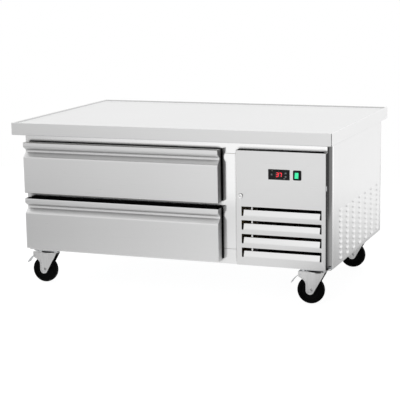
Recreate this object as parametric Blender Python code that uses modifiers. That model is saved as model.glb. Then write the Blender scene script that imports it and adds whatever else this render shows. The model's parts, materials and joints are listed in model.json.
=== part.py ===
"""Refrigerated chef base: a low two-drawer refrigerator on casters whose worktop carries cooking
equipment, with its condensing unit behind a louvred service panel at the right.

The frame is the object's own: the origin lies on the floor under the middle of the worktop, +X runs
to the right of someone facing the drawers, +Y runs to the back and +Z is up. Lengths are in metres.
"""

import math

import bmesh
import bpy
from mathutils import Matrix, Vector

# Whole object
WIDTH = 1.257
DEPTH = 0.835
HEIGHT = 0.640
UNDER_HEIGHT = 0.135
SHEET = 0.0012
GAP = 0.0003
OVERRUN = 0.004
WELD = 0.00001

# Worktop with a raised rim, a deep apron and a folded return
TOP_SHEET = 0.0015
APRON_HEIGHT = 0.047
APRON_RETURN = 0.014
RIM_WIDTH = 0.006
RIM_RUNOUT = 0.005
RIM_HEIGHT = 0.004
TOP_EDGE_RADIUS = 0.002
SIDE_OVERHANG = 0.0215
BACK_OVERHANG = 0.019
FRAME_SETBACK = 0.0699
CORE_THICKNESS = 0.030
CORE_CLEARANCE = 0.001

# Layout of the front, as reveals and laps
LEFT_REVEAL = 0.0114
RIGHT_REVEAL = 0.0129
TOP_REVEAL = 0.0314
BOTTOM_REVEAL = 0.0147
MULLION_REVEAL = 0.0622
DRAWER_SPACING = 0.0204
SIDE_LAP = 0.0236
TOP_LAP = 0.0161
SILL_LAP = 0.0415
PANEL_WIDTH = 0.3353
PANEL_LAP = 0.0055
PANEL_BOTTOM_REVEAL = 0.0045
MACHINE_SILL = 0.015
MULLION_RETURN = 0.012

# Walls
FLANGE = 0.012
BASE_FLANGE = 0.014
LINER_SHEET = 0.0008
LINER_CLEARANCE = 0.0015
PARTITION = 0.070
BACK_WALL = 0.050
DIVIDER_HEIGHT = 0.040
DIVIDER_DEPTH = 0.040

# Pressed louvres in the right side panel
LOUVRE_COLUMNS = 7
LOUVRE_ROWS = 10
LOUVRE_LENGTH = 0.045
LOUVRE_HEIGHT = 0.010
LOUVRE_PROUD = 0.004
LOUVRE_CHEEK = 0.006
LOUVRE_ROW_PITCH = 0.0200
LOUVRE_REAR_MARGIN = 0.055
LOUVRE_FRONT_MARGIN = 0.1319
LOUVRE_BOTTOM_MARGIN = 0.021

# Vent slots in the back panel
VENT_COLUMNS = 2
VENT_ROWS = 9
VENT_LENGTH = 0.080
VENT_HEIGHT = 0.006
VENT_COLUMN_PITCH = 0.105
VENT_ROW_PITCH = 0.022
VENT_RIGHT_MARGIN = 0.075
VENT_BOTTOM_MARGIN = 0.125

# Drawer fronts with a full-width pull pressed into the skin
FACE_SETBACK = 0.0252
DRAWER_THICKNESS = 0.034
DRAWER_EDGE_RADIUS = 0.0012
PULL_LIP = 0.0176
PULL_SLANT = 0.0125
PULL_RECESS = 0.0078
PULL_RUNOUT = 0.0190
PULL_DEPTH = 0.0214
PLUG_DEPTH = 0.009
PLUG_CLEARANCE = 0.006
GASKET_INSET = 0.0025
GASKET_WIDTH = 0.011

# Drawer frames, which carry two full-size pans each
FRAME_SHEET = 0.002
FRAME_REAR_CLEARANCE = 0.0455
FRAME_WEB = 0.042
FRAME_DROP = 0.012
BAY_SIDE_LEDGE = 0.0367
BAY_END_LEDGE = 0.025
BAY_BAR = 0.018
BAY_LIP = 0.012

# Telescopic slides: nested channels on racks that stand in the liner
SLIDE_SHEET = 0.002
SLIDE_HEIGHT = 0.046
SLIDE_FLANGE = 0.014
SLIDE_REAR_INSET = 0.005
SLIDE_SETBACK = 0.0136
RAIL_OVERLAP = 0.0008
RACK_STANDOFF = 0.0002
RACK_STRAP = 0.0015
RACK_STRAP_WIDTH = 0.030
RACK_STRAP_INSET = 0.070

# Service panel: a shallow tray with four flaps lanced and bent inwards
PANEL_STANDOFF = 0.0219
PANEL_BACK_GAP = 0.0021
FLAP_COUNT = 4
FLAP_TOP_MARGIN = 0.2049
FLAP_BOTTOM_MARGIN = 0.0301
FLAP_SIDE_MARGIN = 0.0194
FLAP_RIGHT_MARGIN = 0.0155
FLAP_SLOT_SHARE = 0.6903
FLAP_LEG = 0.0055
FLAP_LENGTH_SHARE = 0.6943
FLAP_ANGLE = math.radians(20)

# Pivots of the service panel, at its right edge
PIVOT_INSET = 0.0045
PIVOT_STANDOFF = 0.0066
PIVOT_PIN_RADIUS = 0.0020
PIVOT_HOLE_RADIUS = 0.0023
PIVOT_PIN_LENGTH = 0.007
PIVOT_TAB_WIDTH = 0.012
PIVOT_TAB_THICKNESS = 0.002

# Cam lock, drawn unlocked with its cam hanging down
LOCK_INSET = 0.0164
LOCK_DROP = 0.1658
LOCK_HEAD_RADIUS = 0.009
LOCK_HEAD_THICKNESS = 0.0025
LOCK_HEAD_CHAMFER = 0.0010
LOCK_BODY_RADIUS = 0.0077
LOCK_CAM_WIDTH = 0.010
LOCK_CAM_LENGTH = 0.030
LOCK_CAM_THICKNESS = 0.002

# Temperature controller with its display window and three keys
BEZEL_INSET = 0.1625
BEZEL_DROP = 0.0826
BEZEL_WIDTH = 0.079
BEZEL_HEIGHT = 0.037
BEZEL_PROUD = 0.003
BEZEL_CHAMFER = 0.0010
CONTROL_BODY_WIDTH = 0.071
CONTROL_BODY_HEIGHT = 0.029
CONTROL_BODY_DEPTH = 0.050
WINDOW_WIDTH = 0.026
WINDOW_HEIGHT = 0.017
WINDOW_THICKNESS = 0.0012
KEY_WIDTH = 0.008
KEY_HEIGHT = 0.007
KEY_THICKNESS = 0.0034
KEY_PROUD = 0.0005
KEY_EDGE_RADIUS = 0.0005
KEY_POCKET_DEPTH = 0.0045
KEY_OFFSET = 0.026
KEY_RISE = 0.0065

# Rocker switch
SWITCH_INSET = 0.2302
SWITCH_WIDTH = 0.030
SWITCH_HEIGHT = 0.0352
SWITCH_PROUD = 0.002
SWITCH_BODY_WIDTH = 0.026
SWITCH_BODY_HEIGHT = 0.031
SWITCH_BODY_DEPTH = 0.024
SWITCH_POCKET_DEPTH = 0.013
ROCKER_WIDTH = 0.018
ROCKER_HEIGHT = 0.0243
ROCKER_AXIS_DEPTH = 0.004
ROCKER_CREST = 0.0050
ROCKER_BACK = 0.0045
ROCKER_BACK_HEIGHT = 0.008
ROCKER_SHOULDER = 0.0015
ROCKER_TILT = math.radians(8)
ROCKER_CLEARANCE = 0.0011
TRUNNION_RADIUS = 0.0015
TRUNNION_LENGTH = 0.0012

# Condensing unit on its tray
TRAY_SHEET = 0.0015
TRAY_INSET = 0.006
TRAY_SETBACK = 0.0116
TRAY_PAN_CLEARANCE = 0.0395
TRAY_FLANGE = 0.012
COIL_LEFT_INSET = 0.0567
COIL_WIDTH = 0.261
COIL_SETBACK = 0.030
COIL_DEPTH = 0.045
COIL_HEIGHT = 0.220
COIL_FINS = 20
FIN_THICKNESS = 0.0012
FIN_SPINE = 0.012
END_PLATE = 0.0025
END_PLATE_PROUD = 0.002
BEND_RADIUS = 0.0095
BEND_COUNT = 3
TUBE_RADIUS = 0.0045
SHROUD_DEPTH = 0.048
FAN_HOLE_RADIUS = 0.098
FAN_RADIUS = 0.092
FAN_HUB_RADIUS = 0.022
FAN_HUB_LENGTH = 0.026
FAN_BLADES = 5
BLADE_THICKNESS = 0.0015
BLADE_SPAN = math.radians(50)
BLADE_PITCH_LENGTH = 0.018
BLADE_CAMBER = 0.004
SHAFT_RADIUS = 0.003
BORE_CLEARANCE = 0.0003
MOTOR_RADIUS = 0.036
MOTOR_LENGTH = 0.055
MOTOR_SHOULDER = 0.008
MOTOR_BOSS_RADIUS = 0.012
MOTOR_BOSS_LENGTH = 0.006
MOTOR_FOOT_WIDTH = 0.050
MOTOR_FOOT_LENGTH = 0.026
FAN_STANDOFF = 0.004
COMPRESSOR_PLACE_SHARE = 0.5576
COMPRESSOR_RADIUS = 0.080
COMPRESSOR_HEIGHT = 0.185
COMPRESSOR_LIFT = 0.022
COMPRESSOR_SEAM = 0.003
COMPRESSOR_SEAM_HEIGHT = 0.012
BASE_PLATE_WIDTH = 0.190
BASE_PLATE_LENGTH = 0.160
BASE_PLATE_THICKNESS = 0.003
BASE_PLATE_CORNER = 0.020
FOOT_RADIUS = 0.011
FOOT_INSET = 0.018
DISCHARGE_RISE = 0.027
DISCHARGE_REACH = 0.060
DISCHARGE_INSET = 0.022
BEND_CENTRE_RADIUS = 0.015
SUCTION_RADIUS = 0.005
SUCTION_RUN = 0.042
SUCTION_HEIGHT = 0.285
SUCTION_DROP = 0.110
SUCTION_OFFSET = 0.070
LIQUID_RADIUS = 0.003
LIQUID_HEIGHT = 0.035
DRIER_RADIUS = 0.014
DRIER_LENGTH = 0.110
DRIER_SHOULDER = 0.012
DRIER_SETBACK = 0.120
SOLDER_LAP = 0.001
BOX_DEPTH = 0.050
BOX_LENGTH = 0.140
BOX_HEIGHT = 0.110
BOX_SETBACK = 0.050
BOX_DROP = 0.0989
BOX_EDGE_RADIUS = 0.003
PAN_INSET = 0.022
PAN_LENGTH_SHARE = 0.2547
PAN_HEIGHT = 0.050
PAN_SETBACK = 0.035
GLAND_INSET = 0.057
GLAND_HEIGHT = 0.055
GLAND_RADIUS = 0.015
GLAND_NECK_RADIUS = 0.011
GLAND_BORE_RADIUS = 0.005
GLAND_FLANGE = 0.004
GLAND_REACH = 0.012
GLAND_TAIL = 0.010

# Evaporator in the cold box
EVAPORATOR_DEPTH = 0.092
EVAPORATOR_LEFT_INSET = 0.050
EVAPORATOR_RIGHT_INSET = 0.050
EVAPORATOR_TOP_INSET = 0.015
EVAPORATOR_HEIGHT = 0.180
COLD_COIL_CLEARANCE = 0.034
COLD_COIL_DEPTH = 0.055
COLD_COIL_HEIGHT = 0.150
COLD_COIL_INSET = 0.018
COLD_COIL_FINS = 16
COLD_FAN_INSET = 0.105
COLD_FAN_RADIUS = 0.066
COLD_FAN_HOLE_RADIUS = 0.071
COLD_MOTOR_LENGTH = 0.040
COLD_SLOT_COUNT = 5
COLD_SLOT_HEIGHT = 0.010
COLD_SLOT_PITCH = 0.026
COLD_SLOT_MARGIN = 0.030

# Swivel casters
CASTER_INSET = 0.065
CASTER_FRONT_SETBACK = 0.040
CASTER_REAR_SETBACK = 0.110
PLATE_LENGTH = 0.100
PLATE_WIDTH = 0.076
PLATE_THICKNESS = 0.004
PLATE_HOLE_RADIUS = 0.0045
PLATE_HOLE_INSET = 0.011
RACE_RADIUS = 0.032
RACE_HEIGHT = 0.009
RACE_STEP = 0.004
KINGPIN_RADIUS = 0.006
KINGPIN_HEAD_RADIUS = 0.010
KINGPIN_HEAD = 0.005
FORK_SHEET = 0.004
FORK_LEG = 0.003
FORK_TRAIL = 0.020
FORK_EYE_RADIUS = 0.016
FORK_FRONT_REACH = 0.054
FORK_FRONT_DROP = 0.0066
FORK_REAR_REACH = 0.044
FORK_REAR_DROP = 0.0206
FORK_WAIST = 0.030
FORK_EYE_START = math.radians(180)
FORK_EYE_END = math.radians(330)
FORK_EDGE_RADIUS = 0.002
WHEEL_RADIUS = 0.0508
WHEEL_WIDTH = 0.030
WHEEL_SIDE_GAP = 0.001
WHEEL_SHOULDER = 0.006
WHEEL_CHEEK_DEPTH = 0.003
WHEEL_HUB_RADIUS = 0.014
WHEEL_RIM_RADIUS = 0.037
AXLE_RADIUS = 0.006
PEDAL_PIVOT_BACK = 0.036
PEDAL_PIVOT_RISE = 0.056
PEDAL_PIN_RADIUS = 0.003
PEDAL_WIDTH = 0.028
PEDAL_THICKNESS = 0.0025
PEDAL_KNEE_BACK = 0.058
PEDAL_KNEE_RISE = 0.040
PEDAL_TIP_BACK = 0.073
PEDAL_TIP_RISE = 0.024

# Roundness, in segments of a full turn
FINE_STEPS = 32
ROUND_STEPS = 20
RACE_STEPS = 12
SMALL_STEPS = 12
BOLT_STEPS = 8
CORNER_STEPS = 3
BEVEL_SEGMENTS = 2
TUBE_RESOLUTION = 2

# Planes and levels that the pieces share
LAYER = SHEET + GAP
BODY_X = WIDTH / 2 - SIDE_OVERHANG
FRAME_Y = FRAME_SETBACK - DEPTH / 2
BACK_Y = DEPTH / 2 - BACK_OVERHANG
DECK_UNDERSIDE = HEIGHT - RIM_HEIGHT - TOP_SHEET
CORE_TOP = DECK_UNDERSIDE - GAP
CORE_BOTTOM = CORE_TOP - CORE_THICKNESS
BODY_TOP = CORE_BOTTOM - GAP
APRON_BOTTOM = HEIGHT - APRON_HEIGHT

# Front
DRAWER_LEFT = LEFT_REVEAL - BODY_X
PANEL_RIGHT = BODY_X - RIGHT_REVEAL
PANEL_LEFT = PANEL_RIGHT - PANEL_WIDTH
DRAWER_RIGHT = PANEL_LEFT - MULLION_REVEAL
FRONT_TOP = APRON_BOTTOM - TOP_REVEAL
FRONT_BOTTOM = UNDER_HEIGHT + BOTTOM_REVEAL
DRAWER_HEIGHT = (FRONT_TOP - FRONT_BOTTOM - DRAWER_SPACING) / 2
OPEN_LEFT = DRAWER_LEFT + SIDE_LAP
OPEN_RIGHT = DRAWER_RIGHT - SIDE_LAP
OPEN_TOP = FRONT_TOP - TOP_LAP
OPEN_BOTTOM = FRONT_BOTTOM + SILL_LAP
DIVIDER_MIDDLE = FRONT_BOTTOM + DRAWER_HEIGHT + DRAWER_SPACING / 2
DIVIDER_BOTTOM = DIVIDER_MIDDLE - DIVIDER_HEIGHT / 2
DIVIDER_TOP = DIVIDER_MIDDLE + DIVIDER_HEIGHT / 2
MACHINE_OPEN_LEFT = PANEL_LEFT + PANEL_LAP
MACHINE_OPEN_RIGHT = PANEL_RIGHT - PANEL_LAP
MACHINE_OPEN_BOTTOM = UNDER_HEIGHT + MACHINE_SILL

# Linings
BEHIND_FRAME = FRAME_Y + LAYER
LINER_LEFT = OPEN_LEFT - LINER_CLEARANCE
LINER_RIGHT = OPEN_RIGHT + LINER_CLEARANCE
LINER_BOTTOM = OPEN_BOTTOM - LINER_CLEARANCE
LINER_TOP = OPEN_TOP + LINER_CLEARANCE
LINER_REAR = BACK_Y - BACK_WALL
MACHINE_LEFT = OPEN_RIGHT + PARTITION
MACHINE_RIGHT = BODY_X - 2 * LAYER
MACHINE_FLOOR = UNDER_HEIGHT + LAYER

# Faces of the drawers and the panel
DRAWER_FACE = FACE_SETBACK - DEPTH / 2
DRAWER_BACK = DRAWER_FACE + DRAWER_THICKNESS
PANEL_FACE = FRAME_Y - PANEL_STANDOFF
PANEL_BACK = FRAME_Y - PANEL_BACK_GAP
PANEL_BOTTOM = UNDER_HEIGHT + PANEL_BOTTOM_REVEAL
PIVOT_X = PANEL_RIGHT - PIVOT_INSET
PIVOT_Y = FRAME_Y - PIVOT_STANDOFF
PULL_SPACE_TOP = PULL_LIP + PULL_SLANT
PULL_SPACE_BOTTOM = PULL_SPACE_TOP + PULL_RECESS

# Rails of the slides, as depths from the liner's wall
RAIL_STEP = SLIDE_SHEET + GAP
OUTER_RAIL_DEPTH = GAP + RACK_STANDOFF
MIDDLE_RAIL_DEPTH = OUTER_RAIL_DEPTH + RAIL_STEP
INNER_RAIL_DEPTH = MIDDLE_RAIL_DEPTH + RAIL_STEP
OUTER_RAIL = (OUTER_RAIL_DEPTH, OUTER_RAIL_DEPTH + SLIDE_SHEET + SLIDE_FLANGE)
MIDDLE_RAIL = (MIDDLE_RAIL_DEPTH, MIDDLE_RAIL_DEPTH + SLIDE_SHEET + SLIDE_FLANGE)
INNER_RAIL = (INNER_RAIL_DEPTH, MIDDLE_RAIL[1] + RAIL_STEP)
MIDDLE_HEIGHT = SLIDE_HEIGHT - 2 * RAIL_STEP
INNER_HEIGHT = MIDDLE_HEIGHT - 2 * RAIL_STEP
FRAME_SIDE = INNER_RAIL[1] - RAIL_OVERLAP
FRAME_FRONT = DRAWER_BACK + PLUG_DEPTH + GAP
FRAME_REAR = LINER_REAR - EVAPORATOR_DEPTH - FRAME_REAR_CLEARANCE
SLIDE_FRONT = FRAME_Y + SLIDE_SETBACK
SLIDE_SPAN = (SLIDE_FRONT, FRAME_REAR - SLIDE_REAR_INSET)

# Places of the controls on the service panel
BEZEL_X = PANEL_LEFT + BEZEL_INSET
BEZEL_Z = FRONT_TOP - BEZEL_DROP
SWITCH_X = PANEL_LEFT + SWITCH_INSET
LOCK_X = PANEL_LEFT + LOCK_INSET
LOCK_Z = FRONT_TOP - LOCK_DROP
FLAP_TOP = FRONT_TOP - FLAP_TOP_MARGIN
FLAP_SPACE = FLAP_TOP - PANEL_BOTTOM - FLAP_BOTTOM_MARGIN
FLAP_PITCH = FLAP_SPACE / (FLAP_COUNT - 1 + FLAP_SLOT_SHARE)
FLAP_SLOT = FLAP_PITCH * FLAP_SLOT_SHARE
FLAP_LENGTH = FLAP_SLOT * FLAP_LENGTH_SHARE
CONTROL_BACK = PANEL_FACE - GAP
BEZEL_FRONT = CONTROL_BACK - BEZEL_PROUD
SWITCH_FRONT = CONTROL_BACK - SWITCH_PROUD
ROCKER_Y = PANEL_FACE + ROCKER_AXIS_DEPTH

# Machine space
TRAY_FLOOR = MACHINE_FLOOR + TRAY_SHEET + GAP
COIL_LEFT = PANEL_LEFT + COIL_LEFT_INSET + PANEL_LAP
COIL_RIGHT = COIL_LEFT + COIL_WIDTH
COIL_FRONT = FRAME_Y + COIL_SETBACK
COIL_BACK = COIL_FRONT + COIL_DEPTH
COIL_TOP = TRAY_FLOOR + COIL_HEIGHT
SHROUD_FRONT = COIL_BACK + GAP
SHROUD_BACK = SHROUD_FRONT + SHROUD_DEPTH
FAN_X = COIL_LEFT + COIL_WIDTH / 2
FAN_Z = TRAY_FLOOR + COIL_HEIGHT / 2
MOTOR_Y = SHROUD_BACK + FAN_HUB_LENGTH / 2 + FAN_STANDOFF + MOTOR_BOSS_LENGTH
MOTOR_REAR = MOTOR_Y + MOTOR_LENGTH
PAN_REAR = BACK_Y - PAN_SETBACK
PAN_FRONT = PAN_REAR - PAN_LENGTH_SHARE * (BACK_Y - FRAME_Y)
TRAY_REAR = PAN_FRONT - TRAY_PAN_CLEARANCE
COMPRESSOR_X = (MACHINE_LEFT + MACHINE_RIGHT) / 2
COMPRESSOR_Y = MOTOR_REAR + COMPRESSOR_PLACE_SHARE * (TRAY_REAR - MOTOR_REAR)

# Casters
FORK_TOP = UNDER_HEIGHT - GAP - PLATE_THICKNESS - RACE_HEIGHT - GAP
FORK_UNDERSIDE = FORK_TOP - FORK_SHEET
FORK_INSIDE = WHEEL_WIDTH / 2 + WHEEL_SIDE_GAP
FORK_OUTSIDE = FORK_INSIDE + FORK_LEG
CASTER_X = BODY_X - CASTER_INSET
CASTER_FRONT_Y = FRAME_Y + CASTER_FRONT_SETBACK
CASTER_REAR_Y = BACK_Y - CASTER_REAR_SETBACK

# Base colour, roughness and metallic value of each finish
FINISHES = {
    "satin_steel": ((0.60, 0.60, 0.59), 0.30, 1.0),
    "polished_steel": ((0.66, 0.66, 0.66), 0.12, 1.0),
    "galvanised_steel": ((0.48, 0.49, 0.50), 0.45, 1.0),
    "zinc_plate": ((0.62, 0.63, 0.65), 0.25, 1.0),
    "aluminium": ((0.66, 0.67, 0.68), 0.35, 1.0),
    "copper": ((0.70, 0.34, 0.20), 0.30, 1.0),
    "black_enamel": ((0.012, 0.012, 0.013), 0.35, 0.0),
    "black_plastic": ((0.015, 0.015, 0.016), 0.45, 0.0),
    "dark_glass": ((0.010, 0.004, 0.004), 0.10, 0.0),
    "grey_key": ((0.14, 0.14, 0.15), 0.50, 0.0),
    "green_lens": ((0.03, 0.63, 0.25), 0.25, 0.0),
    "white_plastic": ((0.72, 0.72, 0.70), 0.45, 0.0),
    "rubber": ((0.010, 0.010, 0.010), 0.70, 0.0),
    "foam": ((0.62, 0.55, 0.36), 0.80, 0.0),
    "plywood": ((0.42, 0.27, 0.14), 0.65, 0.0),
}

PLANE_TURNS = {
    "X": (math.pi / 2, 0.0, math.pi / 2),
    "Y": (math.pi / 2, 0.0, 0.0),
    "Z": (0.0, 0.0, 0.0),
}
AXIS_TURNS = {
    "X": (0.0, math.pi / 2, 0.0),
    "Y": (-math.pi / 2, 0.0, 0.0),
    "Z": (0.0, 0.0, 0.0),
}


# Scene and finishes


def new_collections():
    for obj in list(bpy.data.objects):
        bpy.data.objects.remove(obj, do_unlink=True)
    parts = bpy.data.collections.new("chef_base")
    tools = bpy.data.collections.new("cutting_tools")
    for collection in (parts, tools):
        bpy.context.scene.collection.children.link(collection)
    return parts, tools


PARTS, TOOLS = new_collections()


def give_finish(obj, finish):
    colour, roughness, metallic = FINISHES[finish]
    material = bpy.data.materials.new(f"{obj.name}_{finish}")
    material.use_nodes = True
    shader = material.node_tree.nodes["Principled BSDF"]
    shader.inputs["Base Color"].default_value = (*colour, 1.0)
    shader.inputs["Roughness"].default_value = roughness
    shader.inputs["Metallic"].default_value = metallic
    obj.data.materials.clear()
    obj.data.materials.append(material)


def add_object(name, data, finish=None, location=(0, 0, 0), rotation=(0, 0, 0)):
    """Adds a part with its finish or, without one, a tool that cuts or joins other parts."""
    obj = bpy.data.objects.new(name, data)
    obj.location = location
    obj.rotation_euler = rotation
    if finish:
        PARTS.objects.link(obj)
        give_finish(obj, finish)
    else:
        TOOLS.objects.link(obj)
        obj.hide_render = True
        obj.display_type = "WIRE"
    return obj


# Shapes


def mesh_from(name, bm):
    mesh = bpy.data.meshes.new(name)
    bm.to_mesh(mesh)
    bm.free()
    return mesh


def box_mesh(name, size):
    bm = bmesh.new()
    bmesh.ops.create_cube(bm, size=1, matrix=Matrix.Diagonal((*size, 1)))
    return mesh_from(name, bm)


def box(name, xs, ys, zs, finish=None):
    size = [high - low for low, high in (xs, ys, zs)]
    middle = [(low + high) / 2 for low, high in (xs, ys, zs)]
    return add_object(name, box_mesh(name, size), finish, middle)


def rod(name, centre, radius, length, axis, finish=None, steps=SMALL_STEPS):
    bm = bmesh.new()
    bmesh.ops.create_cone(
        bm, cap_ends=True, segments=steps, radius1=radius, radius2=radius, depth=length
    )
    return add_object(name, mesh_from(name, bm), finish, centre, AXIS_TURNS[axis])


def mesh_of_curve(name, curve):
    """The curve's shape as a closed mesh, with its loose caps welded on."""
    source = bpy.data.objects.new(name, curve)
    TOOLS.objects.link(source)
    graph = bpy.context.evaluated_depsgraph_get()
    mesh = bpy.data.meshes.new_from_object(source.evaluated_get(graph), depsgraph=graph)
    bpy.data.objects.remove(source, do_unlink=True)
    bm = bmesh.new()
    bm.from_mesh(mesh)
    bmesh.ops.remove_doubles(bm, verts=bm.verts, dist=WELD)
    bmesh.ops.recalc_face_normals(bm, faces=bm.faces)
    bm.to_mesh(mesh)
    bm.free()
    mesh.name = name
    return mesh


def extruded(name, outlines, plane, span, finish=None):
    """Flat outlines, where one inside another is a hole, raised across the span on the plane's axis."""
    curve = bpy.data.curves.new(name, "CURVE")
    curve.dimensions = "2D"
    curve.fill_mode = "BOTH"
    curve.extrude = (span[1] - span[0]) / 2
    for outline in outlines:
        spline = curve.splines.new("POLY")
        spline.points.add(len(outline) - 1)
        spline.use_cyclic_u = True
        for point, place in zip(spline.points, outline):
            point.co = (*place, 0, 1)
    middle = Vector([sum(span) / 2 if axis == plane else 0 for axis in "XYZ"])
    return add_object(name, mesh_of_curve(name, curve), finish, middle, PLANE_TURNS[plane])


def turned(name, profile, centre, axis, finish=None, steps=ROUND_STEPS, closed=False):
    """A profile of (radius, place along the axis) from the far end to the near one, turned about it."""
    bm = bmesh.new()
    points = [bm.verts.new((radius, 0, place)) for radius, place in profile]
    ends = points[1:] + points[:1] if closed else points[1:]
    for start, end in zip(points, ends):
        bm.edges.new((start, end))
    obj = add_object(name, mesh_from(name, bm), finish, centre, AXIS_TURNS[axis])
    screw = obj.modifiers.new("turn", "SCREW")
    screw.steps = steps
    screw.render_steps = steps
    screw.use_merge_vertices = True
    screw.merge_threshold = WELD
    screw.use_smooth_shade = True
    return obj


def tube(name, corners, radius, finish=None):
    """A bent tube whose route rounds each corner with the bender's radius."""
    curve = bpy.data.curves.new(name, "CURVE")
    curve.dimensions = "3D"
    curve.bevel_depth = radius
    curve.bevel_resolution = TUBE_RESOLUTION
    curve.use_fill_caps = True
    route = rounded_route(corners)
    spline = curve.splines.new("POLY")
    spline.points.add(len(route) - 1)
    for point, place in zip(spline.points, route):
        point.co = (*place, 1)
    return add_object(name, mesh_of_curve(name, curve), finish)


def rounded_route(corners):
    corners = [Vector(corner) for corner in corners]
    route = [corners[0]]
    for before, corner, after in zip(corners, corners[1:], corners[2:]):
        back = (before - corner).normalized()
        ahead = (after - corner).normalized()
        half = back.angle(ahead) / 2
        reach = BEND_CENTRE_RADIUS / math.tan(half)
        centre = corner + (back + ahead).normalized() * (BEND_CENTRE_RADIUS / math.sin(half))
        first = corner + back * reach - centre
        last = corner + ahead * reach - centre
        for step in range(CORNER_STEPS + 1):
            place = centre + first.slerp(last, step / CORNER_STEPS).normalized() * BEND_CENTRE_RADIUS
            if (place - route[-1]).length > WELD:
                route.append(place)
    return [*route, corners[-1]]


def sheet(name, bm, thickness, finish, edge_radius=None):
    """An open surface that faces outwards, given its wall on the inner side."""
    bmesh.ops.recalc_face_normals(bm, faces=bm.faces)
    obj = add_object(name, mesh_from(name, bm), finish)
    if edge_radius:
        soften(obj, edge_radius)
    wall = obj.modifiers.new("wall", "SOLIDIFY")
    wall.thickness = thickness
    wall.offset = -1
    wall.use_even_offset = True
    return obj


def open_box(name, xs, ys, zs, open_side, thickness, finish):
    """A folded tray: a box of outer sizes without the side that faces open_side."""
    size = [high - low for low, high in (xs, ys, zs)]
    middle = Vector([(low + high) / 2 for low, high in (xs, ys, zs)])
    bm = bmesh.new()
    bmesh.ops.create_cube(bm, size=1, matrix=Matrix.Translation(middle) @ Matrix.Diagonal((*size, 1)))
    bm.normal_update()
    lid = [face for face in bm.faces if round(face.normal.dot(Vector(open_side))) == 1]
    bmesh.ops.delete(bm, geom=lid, context="FACES_ONLY")
    return sheet(name, bm, thickness, finish)


def lined_grid(xs, ys, z):
    """A grid whose lines lie at the given places."""
    bm = bmesh.new()
    bmesh.ops.create_grid(bm, x_segments=len(xs) - 1, y_segments=len(ys) - 1, size=1)
    for vert in bm.verts:
        column = round((vert.co.x + 1) / 2 * (len(xs) - 1))
        row = round((vert.co.y + 1) / 2 * (len(ys) - 1))
        vert.co = (xs[column], ys[row], z)
    return bm


def ring(bm, points):
    verts = [bm.verts.new(point) for point in points]
    for start, end in zip(verts, verts[1:] + verts[:1]):
        bm.edges.new((start, end))
    return verts


def drawn_out(bm, edges, move):
    """Extrudes edges, moves the new ones and returns their points."""
    made = bmesh.ops.extrude_edge_only(bm, edges=edges)["geom"]
    verts = [item for item in made if isinstance(item, bmesh.types.BMVert)]
    for vert in verts:
        vert.co += move(vert.co)
    return verts


def soften(obj, radius, segments=BEVEL_SEGMENTS):
    bevel = obj.modifiers.new("rounded_edges", "BEVEL")
    bevel.width = radius
    bevel.segments = segments
    bevel.limit_method = "ANGLE"


def combine(obj, tool, operation):
    for collection in list(tool.users_collection):
        collection.objects.unlink(tool)
    TOOLS.objects.link(tool)
    tool.hide_render = True
    tool.display_type = "WIRE"
    boolean = obj.modifiers.new(f"{operation.lower()}_{tool.name}", "BOOLEAN")
    boolean.object = tool
    boolean.operation = operation
    boolean.solver = "EXACT"


def cut(obj, *tools):
    for tool in tools:
        combine(obj, tool, "DIFFERENCE")


def join(obj, *tools):
    for tool in tools:
        combine(obj, tool, "UNION")


def rectangle(us, vs):
    return [(us[0], vs[0]), (us[1], vs[0]), (us[1], vs[1]), (us[0], vs[1])]


def arc(centre, radius, start, end, steps):
    angles = [start + (end - start) * step / steps for step in range(steps + 1)]
    return [
        (centre[0] + radius * math.cos(angle), centre[1] + radius * math.sin(angle))
        for angle in angles
    ]


def circle(centre, radius, steps=SMALL_STEPS):
    return arc(centre, radius, 0, math.tau, steps)[:-1]


def about(middle, size):
    return (middle - size / 2, middle + size / 2)


def joint_empty(name, location):
    empty = bpy.data.objects.new(name, None)
    empty.location = location
    PARTS.objects.link(empty)
    return empty


def carry(empty, pieces):
    """Parents the pieces to the empty on their joint's axis and leaves them where they are."""
    bpy.context.view_layer.update()
    for piece in pieces:
        piece.parent = empty
        piece.matrix_parent_inverse = empty.matrix_world.inverted()


# Carcass


def make_worktop():
    bm = lined_grid((-WIDTH / 2, WIDTH / 2), (-DEPTH / 2, DEPTH / 2), HEIGHT)
    bm.faces.ensure_lookup_table()
    deck = bm.faces[0]
    if deck.normal.z < 0:
        deck.normal_flip()
    bmesh.ops.inset_region(bm, faces=[deck], thickness=RIM_WIDTH, use_boundary=True)
    bmesh.ops.inset_region(bm, faces=[deck], thickness=RIM_RUNOUT, depth=-RIM_HEIGHT)
    outer = [edge for edge in bm.edges if edge.is_boundary]
    lowered = drawn_out(bm, outer, lambda place: Vector((0, 0, -APRON_HEIGHT)))
    hem = [edge for edge in bm.edges if edge.is_boundary and set(edge.verts) <= set(lowered)]
    drawn_out(
        bm,
        hem,
        lambda place: Vector(
            (
                -math.copysign(APRON_RETURN, place.x),
                -math.copysign(APRON_RETURN, place.y),
                0,
            )
        ),
    )
    sheet("worktop", bm, TOP_SHEET, "satin_steel", TOP_EDGE_RADIUS)


def make_core():
    inset = TOP_SHEET + CORE_CLEARANCE
    half_x = WIDTH / 2 - inset
    half_y = DEPTH / 2 - inset
    box("worktop_core", (-half_x, half_x), (-half_y, half_y), (CORE_BOTTOM, CORE_TOP), "plywood")


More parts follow.
